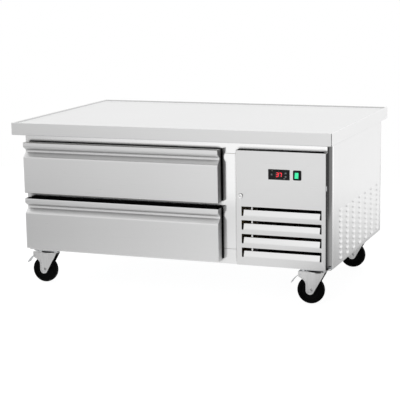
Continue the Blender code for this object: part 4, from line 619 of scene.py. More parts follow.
def brushed_stainless(
    name, along, colour, roughness, contrast=0.018, reach=CAVITY_REACH, span=CAVITY_SPAN
):
    """Brushed 304 sheet, belt ground in one direction: soft streaks that smear highlights, and
    painted shade in narrow gaps.

    The real grain is about 0.2 mm wide. It is drawn 1.5 mm wide and 150 mm long so that it shows,
    over slow tone shifts some 0.4 m across from the rolling of the sheet.
    """
    material, tree, shader = new_material(name, colour, roughness, 1.0, anisotropic=0.35)
    scale = [1 / GRAIN_LENGTH if axis == along else 1 / GRAIN_WIDTH for axis in "XYZ"]
    place = add_node(tree, "ShaderNodeTexCoord")
    stretch = add_node(
        tree, "ShaderNodeMapping", {"Scale": scale}, {"Vector": place.outputs["Object"]}
    )
    grain = add_node(
        tree,
        "ShaderNodeTexNoise",
        {"Scale": 1.0, "Detail": 2.0, "Roughness": 0.6},
        {"Vector": stretch.outputs["Vector"]},
    )
    cloud = add_node(
        tree,
        "ShaderNodeTexNoise",
        {"Scale": 1 / MOTTLE, "Detail": 1.0},
        {"Vector": place.outputs["Object"]},
    )
    blend = add_node(
        tree,
        "ShaderNodeMath",
        {2: 0.0},
        {0: grain.outputs["Fac"], 1: cloud.outputs["Fac"]},
        operation="ADD",
    )
    tone = add_node(
        tree,
        "ShaderNodeMapRange",
        {"From Min": 0.6, "From Max": 1.4, "To Min": 0.0, "To Max": 1.0},
        {"Value": blend.outputs["Value"]},
    )
    pattern = (tone.outputs["Result"], grain.outputs["Fac"])
    shares = (1 - contrast, 1 + contrast)
    polish = (roughness - BELT_SPREAD, roughness + BELT_SPREAD)
    paint = vary(tree, shader, pattern, colour, shares, polish)
    # Painted shade in the gaps, over the grain and mottle
    shade_cavities(tree, shader, paint, reach, span)
    run = add_node(tree, "ShaderNodeCombineXYZ", {along: 1.0})
    turned = add_node(
        tree,
        "ShaderNodeVectorTransform",
        None,
        {"Vector": run.outputs["Vector"]},
        convert_from="OBJECT",
        convert_to="WORLD",
    )
    tree.links.new(turned.outputs["Vector"], shader.inputs["Tangent"])
    add_relief(tree, shader, grain.outputs["Fac"], GRAIN_DEPTH)
    return material


def worked_metal(
    name, code, roughness, grain, depth, metallic=1.0, contrast=0.06, gloss=0.5, height=None
):
    """Plated, cast or enamelled metal whose grain has a real width, and a height where drawn."""
    colour = hex_colour(code)
    material, tree, shader = new_material(name, colour, roughness, metallic)
    shader.inputs["Specular IOR Level"].default_value = gloss
    place = add_node(tree, "ShaderNodeTexCoord")
    stretch = add_node(
        tree,
        "ShaderNodeMapping",
        {"Scale": (1 / grain, 1 / grain, 1 / (height or grain))},
        {"Vector": place.outputs["Object"]},
    )
    texture = add_node(
        tree,
        "ShaderNodeTexNoise",
        {"Scale": 1.0, "Detail": 3.0},
        {"Vector": stretch.outputs["Vector"]},
    )
    pattern = texture.outputs["Fac"]
    polish = [roughness * share for share in GLOSS_SHARES]
    vary(tree, shader, (pattern, pattern), colour, (1 - contrast, 1 + contrast), polish)
    add_relief(tree, shader, pattern, depth)
    return material


def spangled_zinc(name):
    """Hot-dip galvanised sheet: crystals about 9 mm across, each with its own tone."""
    colour = hex_colour("#B9BCC0")
    material, tree, shader = new_material(name, colour, 0.38, 1.0)
    place = add_node(tree, "ShaderNodeTexCoord")
    crystals = add_node(
        tree,
        "ShaderNodeTexVoronoi",
        {"Scale": 1 / SPANGLE},
        {"Vector": place.outputs["Object"]},
    )
    tone = add_node(
        tree, "ShaderNodeSeparateColor", None, {"Color": crystals.outputs["Color"]}
    )
    pattern = (tone.outputs["Red"], tone.outputs["Green"])
    vary(tree, shader, pattern, colour, SPANGLE_TONES, SPANGLE_GLOSS)
    return material


def lit_plastic(name, colour, strength, roughness):
    """Translucent plastic lit from behind, with a faint haze of brighter and dimmer patches."""
    material, tree, shader = new_material(
        name, colour, roughness, emission_strength=strength, coat_weight=0.3
    )
    place = add_node(tree, "ShaderNodeTexCoord")
    haze = add_node(
        tree,
        "ShaderNodeTexNoise",
        {"Scale": 1 / LENS_HAZE, "Detail": 1.0},
        {"Vector": place.outputs["Object"]},
    )
    glow = add_node(
        tree,
        "ShaderNodeMix",
        {6: shaded(colour, 0.9), 7: shaded(colour, 1.15)},
        {0: haze.outputs["Fac"]},
        data_type="RGBA",
    )
    tree.links.new(glow.outputs[2], shader.inputs["Emission Color"])
    return material


def layered_board(name):
    """Plywood under a grey sealer: veneers 1.5 mm thick, pale and dark lines on the edge."""
    pale = hex_colour("#A39B8F")
    dark = hex_colour("#746D63")
    material, tree, shader = new_material(name, pale, 0.6)
    place = add_node(tree, "ShaderNodeTexCoord")
    plies = add_node(
        tree,
        "ShaderNodeTexWave",
        {"Scale": 1 / PLY_BAND, "Distortion": 1.0, "Detail": 2.0, "Detail Scale": 0.2},
        {"Vector": place.outputs["Object"]},
        bands_direction="Z",
    )
    paint = add_node(
        tree,
        "ShaderNodeMix",
        {6: (*dark, 1.0), 7: (*pale, 1.0)},
        {0: plies.outputs["Fac"]},
        data_type="RGBA",
    )
    tree.links.new(paint.outputs[2], shader.inputs["Base Color"])
    return material


def finish(name):
    """The named finish, made the first time it is asked for."""
    known = bpy.data.materials.get(name)
    if known and known.get("chef_base"):
        return known
    colours = bpy.context.scene.chef_base.finishes
    satin = tuple(colours.satin_steel)
    bright = tuple(colours.polished_steel)
    rough = colours.satin_roughness
    makers = {
        # Brushed stainless sheet in three grain directions
        "brushed_stainless_x": lambda: brushed_stainless(name, "X", satin, rough),
        "brushed_stainless_y": lambda: brushed_stainless(name, "Y", satin, rough),
        "brushed_stainless_z": lambda: brushed_stainless(name, "Z", satin, rough),
        # The same sheet on top edges, with deeper painted shade for the gap above them
        "painted_shade_top_stainless": lambda: brushed_stainless(
            name, "X", satin, rough, 0.018, 0.10, TOP_SHADE_SPAN
        ),
        # The rim's ramp, darker and rougher than the deck
        "darker_rim_ramp": lambda: brushed_stainless(name, "X", hex_colour("#B9B9B9"), 0.36),
        # Buffed stainless: nearly a mirror, with faint buffing lines and painted shade close to the
        # gaps
        "buffed_stainless": lambda: brushed_stainless(
            name, "X", bright, 0.13, 0.01, 0.021, FRAME_SHADE_SPAN
        ),
        # Galvanised sheet, patchy with crystals
        "galvanised_sheet": lambda: spangled_zinc(name),
        # Bright zinc plate over pressed steel, slightly blue
        "bright_zinc": lambda: worked_metal(name, "#D6D7D9", 0.20, 0.004, 0.00002),
        # The same plate on the forks, streaked downwards by the press
        "pressed_zinc": lambda: worked_metal(
            name, "#E4E4E4", 0.24, 0.005, 0.00003, 1.0, 0.16, 0.5, 0.08
        ),
        # Black oxide on the swivel race and the axle; the race's black is also painted shadow
        # between plate and fork, and on the keyway it is painted shade of the slot
        "black_oxide_and_shade": lambda: worked_metal(name, "#1B1B1D", 0.5, 0.003, 0.00002, 0.6),
        # Mill-finish aluminium fin stock, and the same near-black as painted shade for the
        # condenser deep behind the panel
        "fin_stock": lambda: worked_metal(name, "#C9CCCF", 0.35, 0.008, 0.00002),
        "shade_dark_fins": lambda: worked_metal(name, "#1A1B1D", 0.5, 0.008, 0.00002, 0.4),
        # Drawn copper, darkened a little in patches
        "drawn_copper": lambda: worked_metal(name, "#C37F5A", 0.28, 0.020, 0.00001, 1.0, 0.15),
        # Black stoved enamel with a light orange peel
        "black_enamel": lambda: worked_metal(name, "#161617", 0.32, 0.003, 0.00004, 0.0),
        # Moulded ABS with a fine spark texture, in three colours
        "black_abs": lambda: worked_metal(name, "#101012", 0.42, 0.0008, 0.00003, 0.0, 0.06, 0.3),
        "grey_abs": lambda: worked_metal(name, "#5E6066", 0.5, 0.0008, 0.00003, 0.0),
        "white_abs": lambda: worked_metal(name, "#DAD9D5", 0.42, 0.0008, 0.00003, 0.0),
        # Tinted acrylic, clear-glossy and nearly flat
        "window_acrylic": lambda: worked_metal(name, "#1A0A0C", 0.08, 0.010, 0.000005, 0.0),
        # Moulded polypropylene with a dull skin
        "core_plastic": lambda: worked_metal(name, "#060606", 0.6, 0.0015, 0.00004, 0.0, 0.1, 0.08),
        # Solid rubber with a dull moulded skin
        "solid_rubber": lambda: worked_metal(name, "#070707", 0.6, 0.0012, 0.00008, 0.0, 0.2, 0.08),
        # Extruded vinyl, softly dull
        "gasket_vinyl": lambda: worked_metal(name, "#101011", 0.55, 0.002, 0.00004, 0.0),
        # Polyurethane foam, open where it was cut
        "rigid_foam": lambda: worked_metal(name, "#D8C79A", 0.85, 0.0020, 0.0003, 0.0, 0.1),
        # Plywood with its plies showing on the edge
        "sealed_board": lambda: layered_board(name),
        # Polycarbonate lit from behind
        "green_lens": lambda: lit_plastic(name, tuple(colours.lens), 0.75, 0.25),
        "red_digits": lambda: lit_plastic(name, tuple(colours.digits), 1.0, 0.4),
    }
    material = makers[name]()
    material["chef_base"] = True
    return material


# Shapes


LAY = {
    "X": Matrix(((0, 0, 1, 0), (1, 0, 0, 0), (0, 1, 0, 0), (0, 0, 0, 1))),
    "Y": Matrix(((1, 0, 0, 0), (0, 0, 1, 0), (0, 1, 0, 0), (0, 0, 0, 1))),
    "Z": Matrix.Identity(4),
}


def settle(bm, axis, place=(0, 0, 0)):
    """Lays a shape drawn on the ground so that its height runs along the axis."""
    bmesh.ops.remove_doubles(bm, verts=bm.verts, dist=WELD)
    bm.transform(Matrix.Translation(place) @ LAY[axis])
    bmesh.ops.recalc_face_normals(bm, faces=bm.faces)
    return bm


def soften(bm, radius, edges=None, segments=EDGE_STEPS):
    """Rounds the edges, or every sharp one, by a real radius."""
    if edges is None:
        edges = [edge for edge in bm.edges if edge.calc_face_angle(0) > SHARP_ANGLE]
    bmesh.ops.bevel(
        bm,
        geom=edges,
        offset=radius,
        offset_type="OFFSET",
        affect="EDGES",
        segments=segments,
        profile=0.5,
        material=-1,
        clamp_overlap=True,
    )
    return bm


def block(low, high, radius=0.0, segments=EDGE_STEPS):
    """A box between two corners with its edges rounded."""
    low, high = Vector(low), Vector(high)
    bm = bmesh.new()
    size = Matrix.Diagonal((*(high - low), 1))
    bmesh.ops.create_cube(bm, size=1, matrix=Matrix.Translation((low + high) / 2) @ size)
    if radius:
        soften(bm, radius, segments=segments)
    return bm


def rounded(points, radii, steps=4, closed=True):
    """A flat outline whose corners are turned into short curves, of one radius or one for each."""
    points = [Vector(point) for point in points]
    if isinstance(radii, float):
        radii = [radii] * len(points)
    curve = []
    for index, (corner, radius) in enumerate(zip(points, radii)):
        if not radius or not closed and index in (0, len(points) - 1):
            curve.append(corner)
            continue
        before = points[index - 1] - corner
        after = points[(index + 1) % len(points)] - corner
        start = corner + before.normalized() * min(radius, before.length * 0.45)
        end = corner + after.normalized() * min(radius, after.length * 0.45)
        for step in range(steps + 1):
            share = step / steps
            curve.append(start.lerp(corner, share).lerp(corner.lerp(end, share), share))
    return curve


def trace(bm, places, closed=True):
    """Edges in turn through the places."""
    verts = [bm.verts.new(place) for place in places]
    ends = verts[1:] + (verts[:1] if closed else [])
    return [bm.edges.new(pair) for pair in zip(verts, ends)]


def draw_out(bm, edges, move):
    """Draws a strip of sheet out of its edges, and returns the new vertices."""
    raised = bmesh.ops.extrude_edge_only(bm, edges=edges)["geom"]
    verts = [item for item in raised if isinstance(item, bmesh.types.BMVert)]
    bmesh.ops.translate(bm, vec=move, verts=verts)
    return verts


def face_towards(bm, direction):
    """Turns an open sheet so that most of its outside looks one way."""
    bmesh.ops.recalc_face_normals(bm, faces=bm.faces)
    if sum(face.normal.dot(direction) * face.calc_area() for face in bm.faces) < 0:
        bmesh.ops.reverse_faces(bm, faces=bm.faces)


def raise_faces(bm, height):
    """Turns flat faces into a solid of the given height."""
    raised = bmesh.ops.extrude_face_region(bm, geom=bm.faces[:])["geom"]
    tops = [item for item in raised if isinstance(item, bmesh.types.BMVert)]
    bmesh.ops.translate(bm, vec=(0, 0, height), verts=tops)


def prism(outline, axis, span, holes=(), radius=0.0, segments=2):
    """A flat outline in the two other axes, with its holes, raised across the span."""
    bm = bmesh.new()
    edges = []
    for points in (outline, *holes):
        edges += trace(bm, [(*point, span[0]) for point in points])
    if holes:
        bmesh.ops.triangle_fill(bm, use_beauty=True, edges=edges, normal=(0, 0, 1))
    else:
        bmesh.ops.contextual_create(bm, geom=edges)
    raise_faces(bm, span[1] - span[0])
    bmesh.ops.recalc_face_normals(bm, faces=bm.faces)
    if radius:
        soften(bm, radius, segments=segments)
    return settle(bm, axis)


def spun(places, steps, closed):
    """A line through the places, spun through a full turn."""
    bm = bmesh.new()
    trace(bm, places, closed)
    bmesh.ops.spin(
        bm,
        geom=bm.verts[:] + bm.edges[:],
        cent=(0, 0, 0),
        axis=(0, 0, 1),
        angle=math.tau,
        steps=steps,
        use_merge=True,
    )
    return bm


def revolved(profile, centre, axis, steps=ROUND_STEPS, closed=False):
    """A profile of (radius, place along the axis) spun through a full turn."""
    bm = spun([(radius, 0, place) for radius, place in profile], steps, closed)
    return settle(bm, axis, centre)


def framed(profile, low, high, axis, closed=True):
    """A profile of (inset, place along the axis) run round a rectangle with mitred corners."""
    reach = 1.0
    bm = spun([(reach - inset, reach - inset, place) for inset, place in profile], 4, closed)
    for vert in bm.verts:
        for number in (0, 1):
            half = (high[number] - low[number]) / 2
            inset = reach - abs(vert.co[number])
            middle = (high[number] + low[number]) / 2
            vert.co[number] = middle + math.copysign(half - inset, vert.co[number])
    return settle(bm, axis)


def gather(parts):
    """One bmesh that holds all the given ones."""
    whole = bmesh.new()
    for part in parts:
        mesh = bpy.data.meshes.new("gathered")
        part.to_mesh(mesh)
        part.free()
        whole.from_mesh(mesh)
        bpy.data.meshes.remove(mesh)
    return whole


def add_piece(
    name, bm, finish_name, body, replaced=(), wall=None, side_finish=None, top_shade_finish=None
):
    """Turns a bmesh into a finished piece that rides on its body."""
    mesh = bpy.data.meshes.new(name)
    bm.to_mesh(mesh)
    bm.free()
    mesh.materials.append(finish(finish_name))
    if side_finish:
        mesh.materials.append(finish(side_finish))
        for face in mesh.polygons:
            face.material_index = int(abs(face.normal.x) > 0.7)
    # Top faces under a deep gap take the finish with painted shade
    if top_shade_finish:
        crest = max(vert.co.z for vert in mesh.vertices) - TOP_EDGE
        mesh.materials.append(finish(top_shade_finish))
        for face in mesh.polygons:
            if face.normal.z > 0.6 and face.center.z > crest:
                face.material_index = len(mesh.materials) - 1
    mesh.shade_smooth()
    mesh.set_sharp_from_angle(angle=SHARP_ANGLE)
    piece = bpy.data.objects.new(name, mesh)
    bpy.context.scene.collection.objects.link(piece)
    if wall:
        solid = piece.modifiers.new("wall", "SOLIDIFY")
        solid.thickness = wall
        solid.offset = -1
        solid.use_even_offset = True
    normals = piece.modifiers.new("flat_faces", "WEIGHTED_NORMAL")
    normals.keep_sharp = True
    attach(piece, body)
    if replaced:
        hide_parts(*replaced)
    return piece


def add_finish(piece, finish_name, chosen):
    """A second finish on the faces whose centres are chosen."""
    piece.data.materials.append(finish(finish_name))
    for face in piece.data.polygons:
        if chosen(face.center):
            face.material_index = len(piece.data.materials) - 1


# Operators


class CHEFBASE_OT_node_finishes(Operator):
    """Gives every carried-over solid the finish of its real material"""

    bl_idname = "chef_base.node_finishes"
    bl_label = "Finishes of the solids"

    def execute(self, context):
        by_slot = {
            "satin_steel": "brushed_stainless_x",
            "polished_steel": "buffed_stainless",
            "galvanised_steel": "galvanised_sheet",
            "zinc_plate": "bright_zinc",
            "aluminium": "fin_stock",
            "copper": "drawn_copper",
            "black_enamel": "black_enamel",
            "black_plastic": "black_abs",
            "dark_glass": "window_acrylic",
            "grey_key": "grey_abs",
            "green_lens": "green_lens",
            "white_plastic": "white_abs",
            "rubber": "gasket_vinyl",
            "foam": "rigid_foam",
            "plywood": "sealed_board",
        }
        along_y = ("left_side_panel", "right_side_panel")
        slots = {row["node"]: row["material_slot"] for row in frame["record"]["subparts"]}
        for node, obj in frame["nodes"].items():
            chosen = "brushed_stainless_y" if node in along_y else by_slot[slots[node]]
            if node.endswith("caster_wheel"):
                chosen = "solid_rubber"
            obj.data.materials.clear()
            obj.data.materials.append(finish(chosen))
        return {"FINISHED"}


class CHEFBASE_OT_worktop(Operator):
    """Folds the worktop from one sheet with a raised rim, an apron and a return"""

    bl_idname = "chef_base.worktop"
    bl_label = "Worktop"

    def execute(self, context):
        low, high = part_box("worktop")
        deck = high.z - RIM_RISE
        profile = [
            (TOP_RETURN, low.z),
            (0, low.z),
            (0, high.z),
            (RIM_FLAT, high.z),
            (RIM_FLAT + RIM_RAMP, deck),
        ]
        bm = framed(profile, low, high, "Z", closed=False)
        crest = low.z + TOP_RETURN
        ring = [edge for edge in bm.edges if edge.is_boundary and edge.verts[0].co.z > crest]
        bmesh.ops.contextual_create(bm, geom=ring)
        face_towards(bm, Vector((0, 0, 1)))
        folds = [edge for edge in bm.edges if edge.calc_face_angle(0) > FOLD_ANGLE]
        soften(bm, TOP_FOLD_RADIUS, folds)
        top = add_piece(
            "worktop_skin",
            bm,
            "brushed_stainless_x",
            "cabinet",
            ["worktop"],
            TOP_SHEET,
            "brushed_stainless_y",
        )
        middle = (low + high) / 2
        inside = (high - low) / 2 - Vector((RIM_FLAT, RIM_FLAT, 0))

        def on_ramp(spot):
            away = spot - middle
            return (
                deck + WELD < spot.z < high.z - WELD
                and abs(away.x) < inside.x
                and abs(away.y) < inside.y
            )

        add_finish(top, "darker_rim_ramp", on_ramp)
        return {"FINISHED"}


class CHEFBASE_OT_front_frame(Operator):
    """Cuts the front frame, and fits the mullion and the pivot tabs"""

    bl_idname = "chef_base.front_frame"
    bl_label = "Front frame"

    def execute(self, context):
        low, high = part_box("front_frame")
        face = high.y - SHEET
        outline = [
            (low.x, low.z),
            (high.x, low.z),
            (high.x, RAIL_LIP),
            (ROLL_LEFT, RAIL_LIP),
            (ROLL_LEFT, high.z),
            (low.x, high.z),
        ]
        opening = [
            (OPENING_LEFT, OPENING_BOTTOM),
            (MACHINE_OPENING_LEFT, OPENING_BOTTOM),
            (MACHINE_OPENING_LEFT, MACHINE_OPENING_BOTTOM),
            (MACHINE_OPENING_RIGHT, MACHINE_OPENING_BOTTOM),
            (MACHINE_OPENING_RIGHT, OPENING_TOP),
            (OPENING_LEFT, OPENING_TOP),
        ]
        sheet = prism(outline, "Y", (face, high.y), [opening], radius=FRAME_EDGE)
        parts = [sheet, *pivot_tabs(low, face)]
        add_piece(
            "frame_sheet",
            gather(parts),
            "buffed_stainless",
            "cabinet",
            ["front_frame"],
        )
        make_mullion(face)
        return {"FINISHED"}


def pivot_tabs(low, face):
    """Small plates above and below the service panel."""
    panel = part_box("service_panel")
    parts = []
    for level, toward in ((panel[1].z, 1), (panel[0].z, -1)):
        near = level + PIVOT_GAP * toward
        span = sorted((near, near + PIVOT_THICKNESS * toward))
        plate = [
            (PIVOT_X - PIVOT_HALF, face + SHEET / 2),
            (PIVOT_X - PIVOT_HALF, low.y),
            (PIVOT_X + PIVOT_HALF, low.y),
            (PIVOT_X + PIVOT_HALF, face + SHEET / 2),
        ]
        corners = [0.0, PIVOT_CORNER, PIVOT_CORNER, 0.0]
        parts.append(prism(rounded(plate, corners), "Z", span, radius=PIVOT_EDGE))
    return parts


def make_mullion(face):
    """The mullion with eased edges, so that its seams to the rails show."""
    low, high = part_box("centre_mullion")
    outline = [
        (low.x, face),
        (high.x, face),
        (high.x, face + SHEET),
        (low.x + SHEET, face + SHEET),
        (low.x + SHEET, high.y),
        (low.x, high.y),
    ]
    span = (low.z + SEAM_EASE, high.z - SEAM_EASE)
    bm = prism(outline, "Z", span, radius=FRAME_EDGE)
    add_piece(
        "mullion_sheet", bm, "buffed_stainless", "cabinet", ["centre_mullion"]
    )


class CHEFBASE_OT_drawers(Operator):
    """Bends each drawer's skin round its pull, and adds its inner panel and its gasket"""

    bl_idname = "chef_base.drawers"
    bl_label = "Drawers"

    def execute(self, context):
        for drawer in DRAWERS:
            low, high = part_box(f"{drawer}_front")
            back = low.y + FRONT_THICKNESS
            make_drawer_skin(drawer, low, high, back)
            make_inner_panel(drawer, back, high.y)
            make_gasket(drawer)
        return {"FINISHED"}


def make_drawer_skin(drawer, low, high, back):
    """The sheet runs over the lip, down the slant into the recess and out to the face."""
    recess = low.y + PULL_DEPTH
    slant = high.z - PULL_LIP
    bend = slant - PULL_SLANT
    foot = bend - PULL_RECESS
    outline = [
        (low.y, low.z),
        (back, low.z),
        (back, high.z),
        (low.y, high.z),
        (low.y, slant),
        (recess, bend),
        (recess, foot),
        (low.y, foot - PULL_RUNOUT),
    ]
    skin = prism(rounded(outline, SKIN_RADIUS), "X", (low.x, high.x), radius=SKIN_EDGE)
    # Its top edge takes painted shade for the gap above the drawer
    add_piece(
        f"{drawer}_skin",
        skin,
        "brushed_stainless_x",
        drawer,
        [f"{drawer}_front"],
        None,
        "brushed_stainless_z",
        "painted_shade_top_stainless",
    )


def make_inner_panel(drawer, back, rear):
    """A shallow pressed tray behind the gasket that closes the foam."""
    low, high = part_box(f"{drawer}_gasket")
    inset = GASKET_WIDTH + INNER_CLEARANCE
    profile = [
        (0, back),
        (0, back + INNER_EDGE),
        (INNER_DRAFT, rear - INNER_EDGE),
        (INNER_CROWN, rear),
    ]
    corners = [(end.x + side * inset, end.z + side * inset) for end, side in ((low, 1), (high, -1))]
    bm = framed(profile, *corners, "Y", closed=False)
    for place in (back, rear):
        ring = [
            edge
            for edge in bm.edges
            if edge.is_boundary and abs(edge.verts[0].co.y - place) < WELD * 10
        ]
        bmesh.ops.contextual_create(bm, geom=ring)
    bmesh.ops.recalc_face_normals(bm, faces=bm.faces)
    add_piece(f"{drawer}_inner_panel", bm, "brushed_stainless_x", drawer)


def make_gasket(drawer):
    """A push-in seal: a square magnet pocket over one fold of bellows."""
    low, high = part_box(f"{drawer}_gasket")
    depth = high.y - low.y
    near = [(inset, low.y + depth * share) for inset, share in GASKET_PROFILE]
    far = [(GASKET_WIDTH - inset, level) for inset, level in reversed(near)]
    bm = framed(near + far, (low.x, low.z), (high.x, high.z), "Y")
    name = f"{drawer}_gasket"
    add_piece(f"{name}_seal", bm, "gasket_vinyl", drawer, [name])


class CHEFBASE_OT_side_panel(Operator):
    """Presses the right side panel's rows of louvres out of its sheet"""

    bl_idname = "chef_base.side_panel"
    bl_label = "Louvred side panel"

    def execute(self, context):
        low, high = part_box("right_side_panel")
        face = high.x - LOUVRE_PROUD
        hood = louvre_hood(face)
        bm = bmesh.new()
        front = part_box("front_frame")[1].y - SHEET
        roll = front + ROLL_RADIUS * math.sin(ROLL_TURN)
        corners = [(roll, low.z), (high.y, low.z), (high.y, high.z), (roll, high.z)]
        edges = trace(bm, [(face, *corner) for corner in corners])
        rear_edge, roll_edge = edges[1], edges[3]
        rear = high.y - LOUVRE_REAR_INSET
        for column in range(LOUVRE_COLUMNS):
            for row in range(LOUVRE_ROWS):
                level = low.z + LOUVRE_RISE + row * LOUVRE_ROW_PITCH
                place = Vector((0, rear - column * LOUVRE_COLUMN_PITCH, level))
                first = len(bm.verts)
                bm.from_mesh(hood)
                bm.verts.ensure_lookup_table()
                added = bm.verts[first:]
                bmesh.ops.translate(bm, vec=place, verts=added)
                ends = [
                    vert
                    for vert in added
                    if vert.co.z < place.z - LOUVRE_HEIGHT / 2 + WELD and vert.co.x < face + WELD
                ]
                slit = bm.edges.new(ends)
                flat = {
                    edge
                    for vert in added
                    for edge in vert.link_edges
                    if edge.is_boundary and all(end.co.x < face + WELD for end in edge.verts)
                }
                edges += [slit, *sorted(flat, key=lambda edge: edge.index)]
        bmesh.ops.triangle_fill(bm, use_beauty=True, edges=edges, normal=(1, 0, 0))
        draw_out(bm, [rear_edge], (-SIDE_FOLD, 0, 0))
        roll_front_corner(bm, roll_edge)
        face_towards(bm, Vector((1, 0, 0)))
        bpy.data.meshes.remove(hood)
        side = add_piece(
            "louvred_side",
            bm,
            "brushed_stainless_y",
            "cabinet",
            ["right_side_panel"],
            SHEET,
        )
        add_finish(side, "buffed_stainless", lambda spot: spot.y < roll)
        return {"FINISHED"}


def roll_front_corner(bm, edge):
    """Rolls the front edge inwards to the frame, short of a full quarter turn."""
    step = ROLL_TURN / ROLL_STEPS
    for index in range(ROLL_STEPS):
        before, after = index * step, (index + 1) * step
        inwards = ROLL_RADIUS * (math.cos(after) - math.cos(before))
        forwards = ROLL_RADIUS * (math.sin(after) - math.sin(before))
        edge = bm.edges.get(draw_out(bm, [edge], (inwards, -forwards, 0)))


def louvre_hood(face):
    """A pressed hood that slopes out from its top down to an open lower lip."""
    bm = bmesh.new()
    bmesh.ops.create_grid(bm, x_segments=10, y_segments=3, size=1)
    for vert in bm.verts:
        along, up = vert.co.x, vert.co.y
        swell = (1 - along**4) * (1 - up) / 2
        vert.co = (face + LOUVRE_PROUD * swell, along * LOUVRE_LENGTH / 2, up * LOUVRE_HEIGHT / 2)
    mesh = bpy.data.meshes.new("louvre_hood")
    bm.to_mesh(mesh)
    bm.free()
    return mesh


class CHEFBASE_OT_service_panel(Operator):
    """Bends the service panel's tray and the four flaps lanced from it"""

    bl_idname = "chef_base.service_panel"
    bl_label = "Service panel"

    def execute(self, context):
        low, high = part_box("service_panel")
        turn = PANEL_FOLD_RADIUS
        cut = turn * PANEL_FOLD_SHARE
        profile = [(0, high.y), (0, low.y + turn), (cut, low.y + cut), (turn, low.y)]
        bm = framed(profile, (low.x, low.z), (high.x, high.z), "Y", closed=False)
        rim = [edge for edge in bm.edges if edge.is_boundary and edge.verts[0].co.y < low.y + WELD]
        roots = []
        left, right = low.x + FLAP_LEFT_INSET, high.x - FLAP_RIGHT_INSET
        for index in range(FLAP_COUNT):
            top = high.z - FLAP_DROP - index * FLAP_PITCH
            bottom = top - FLAP_SLOT
            slot = [
                (left, bottom),
                (left + FLAP_LEG, bottom),
                (right - FLAP_LEG, bottom),
                (right, bottom),
                (right, top),
                (left, top),
            ]
            sides = trace(bm, [(x, low.y, z) for x, z in slot])
            roots.append(sides[1])
            rim += sides
        for hole in panel_holes():
            rim += trace(bm, [(x, low.y, z) for x, z in hole])
        bmesh.ops.triangle_fill(bm, use_beauty=True, edges=rim, normal=(0, -1, 0))
        for root in roots:
            bend_flap(bm, root)
        face_towards(bm, Vector((0, -1, 0)))
        # Its top edge takes painted shade for the gap above the panel
        add_piece(
            "service_panel_skin",
            bm,
            "brushed_stainless_x",
            "service_panel",
            ["service_panel"],
            SHEET,
            "brushed_stainless_z",
            "painted_shade_top_stainless",
        )
        make_panel_rib(low, high)
        make_shade_strip(low, high)
        make_edge_clip(low, high)
        return {"FINISHED"}


def make_panel_rib(low, high):
    """A bright rib behind the flaps, with a foot on the skin at each end."""
    left = low.x + RIB_INSET
    right = left + RIB_WIDTH
    skin = low.y + SHEET + REST_GAP
    near = low.y + RIB_SETBACK
    far = near + SHEET
    base, top = low.z + RIB_RISE, high.z - FLAP_DROP + RIB_FOOT
    parts = [
        block((left, near, base), (right, far, top), RIB_EDGE),
        block((left, skin, base - RIB_FOOT), (right, far, base), RIB_EDGE),
        block((left, skin, top), (right, far, top + RIB_FOOT), RIB_EDGE),
    ]
    add_piece("panel_rib", gather(parts), "buffed_stainless", "service_panel")


def make_shade_strip(low, high):
    """A thin black strip along the panel's hinged side, painted shade of the dark gap beside it."""
    bm = block(
        (high.x + REST_GAP, low.y + SHADE_STRIP_SETBACK, low.z + SHADE_STRIP_END),
        (high.x + SHADE_STRIP_PROUD, high.y - SHADE_STRIP_SETBACK, high.z - SHADE_STRIP_END),
        SHADE_STRIP_EDGE,
        1,
    )
    add_piece("panel_shade_strip", bm, "gasket_vinyl", "service_panel")


def make_edge_clip(low, high):
    """A bright spring clip over the panel's hinged side."""
    foot = low.z + CLIP_RISE
    bm = block(
        (high.x - CLIP_LAP, low.y + CLIP_SETBACK, foot),
        (high.x + CLIP_PROUD, low.y + CLIP_DEPTH, foot + CLIP_LENGTH),
        CLIP_EDGE,
    )
    add_piece("panel_edge_clip", bm, "bright_zinc", "service_panel")


def panel_holes():
    """Cut-outs for the controller's body, the switch's body and the lock."""
    holes = []
    for node, margin in (("controller_housing", CASE_INSET), ("switch_bezel", SWITCH_INSET)):
        low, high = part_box(node)
        inset = Vector((margin, 0, margin))
        holes.append(rectangle_of(low + inset, high - inset))
    low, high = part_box("panel_lock")
    radius = (high.x - low.x) / 2 - LOCK_LAP
    centre = Vector(((low.x + high.x) / 2, high.z - radius - LOCK_LAP))
    holes.append(
        [
            centre + radius * Vector((math.cos(turn), math.sin(turn)))
            for turn in (math.tau * step / SMALL_STEPS for step in range(SMALL_STEPS))
        ]
    )
    return holes


def bend_flap(bm, root):
    """Draws a flap up from its root, inwards along a curved fold."""
    edge = root
    for length, share in FLAP_BENDS:
        angle = FLAP_ANGLE * share
        move = (0, length * math.sin(angle), length * math.cos(angle))
        edge = bm.edges.get(draw_out(bm, [edge], move))


class CHEFBASE_OT_controls(Operator):
    """Fits the controller with its lit digits and keys, the rocker switch and the cam lock"""

    bl_idname = "chef_base.controls"
    bl_label = "Controls"

    def execute(self, context):
        make_controller()
        make_face_marks()
        make_digits()
        make_keys()
        make_switch()
        make_lock()
        return {"FINISHED"}


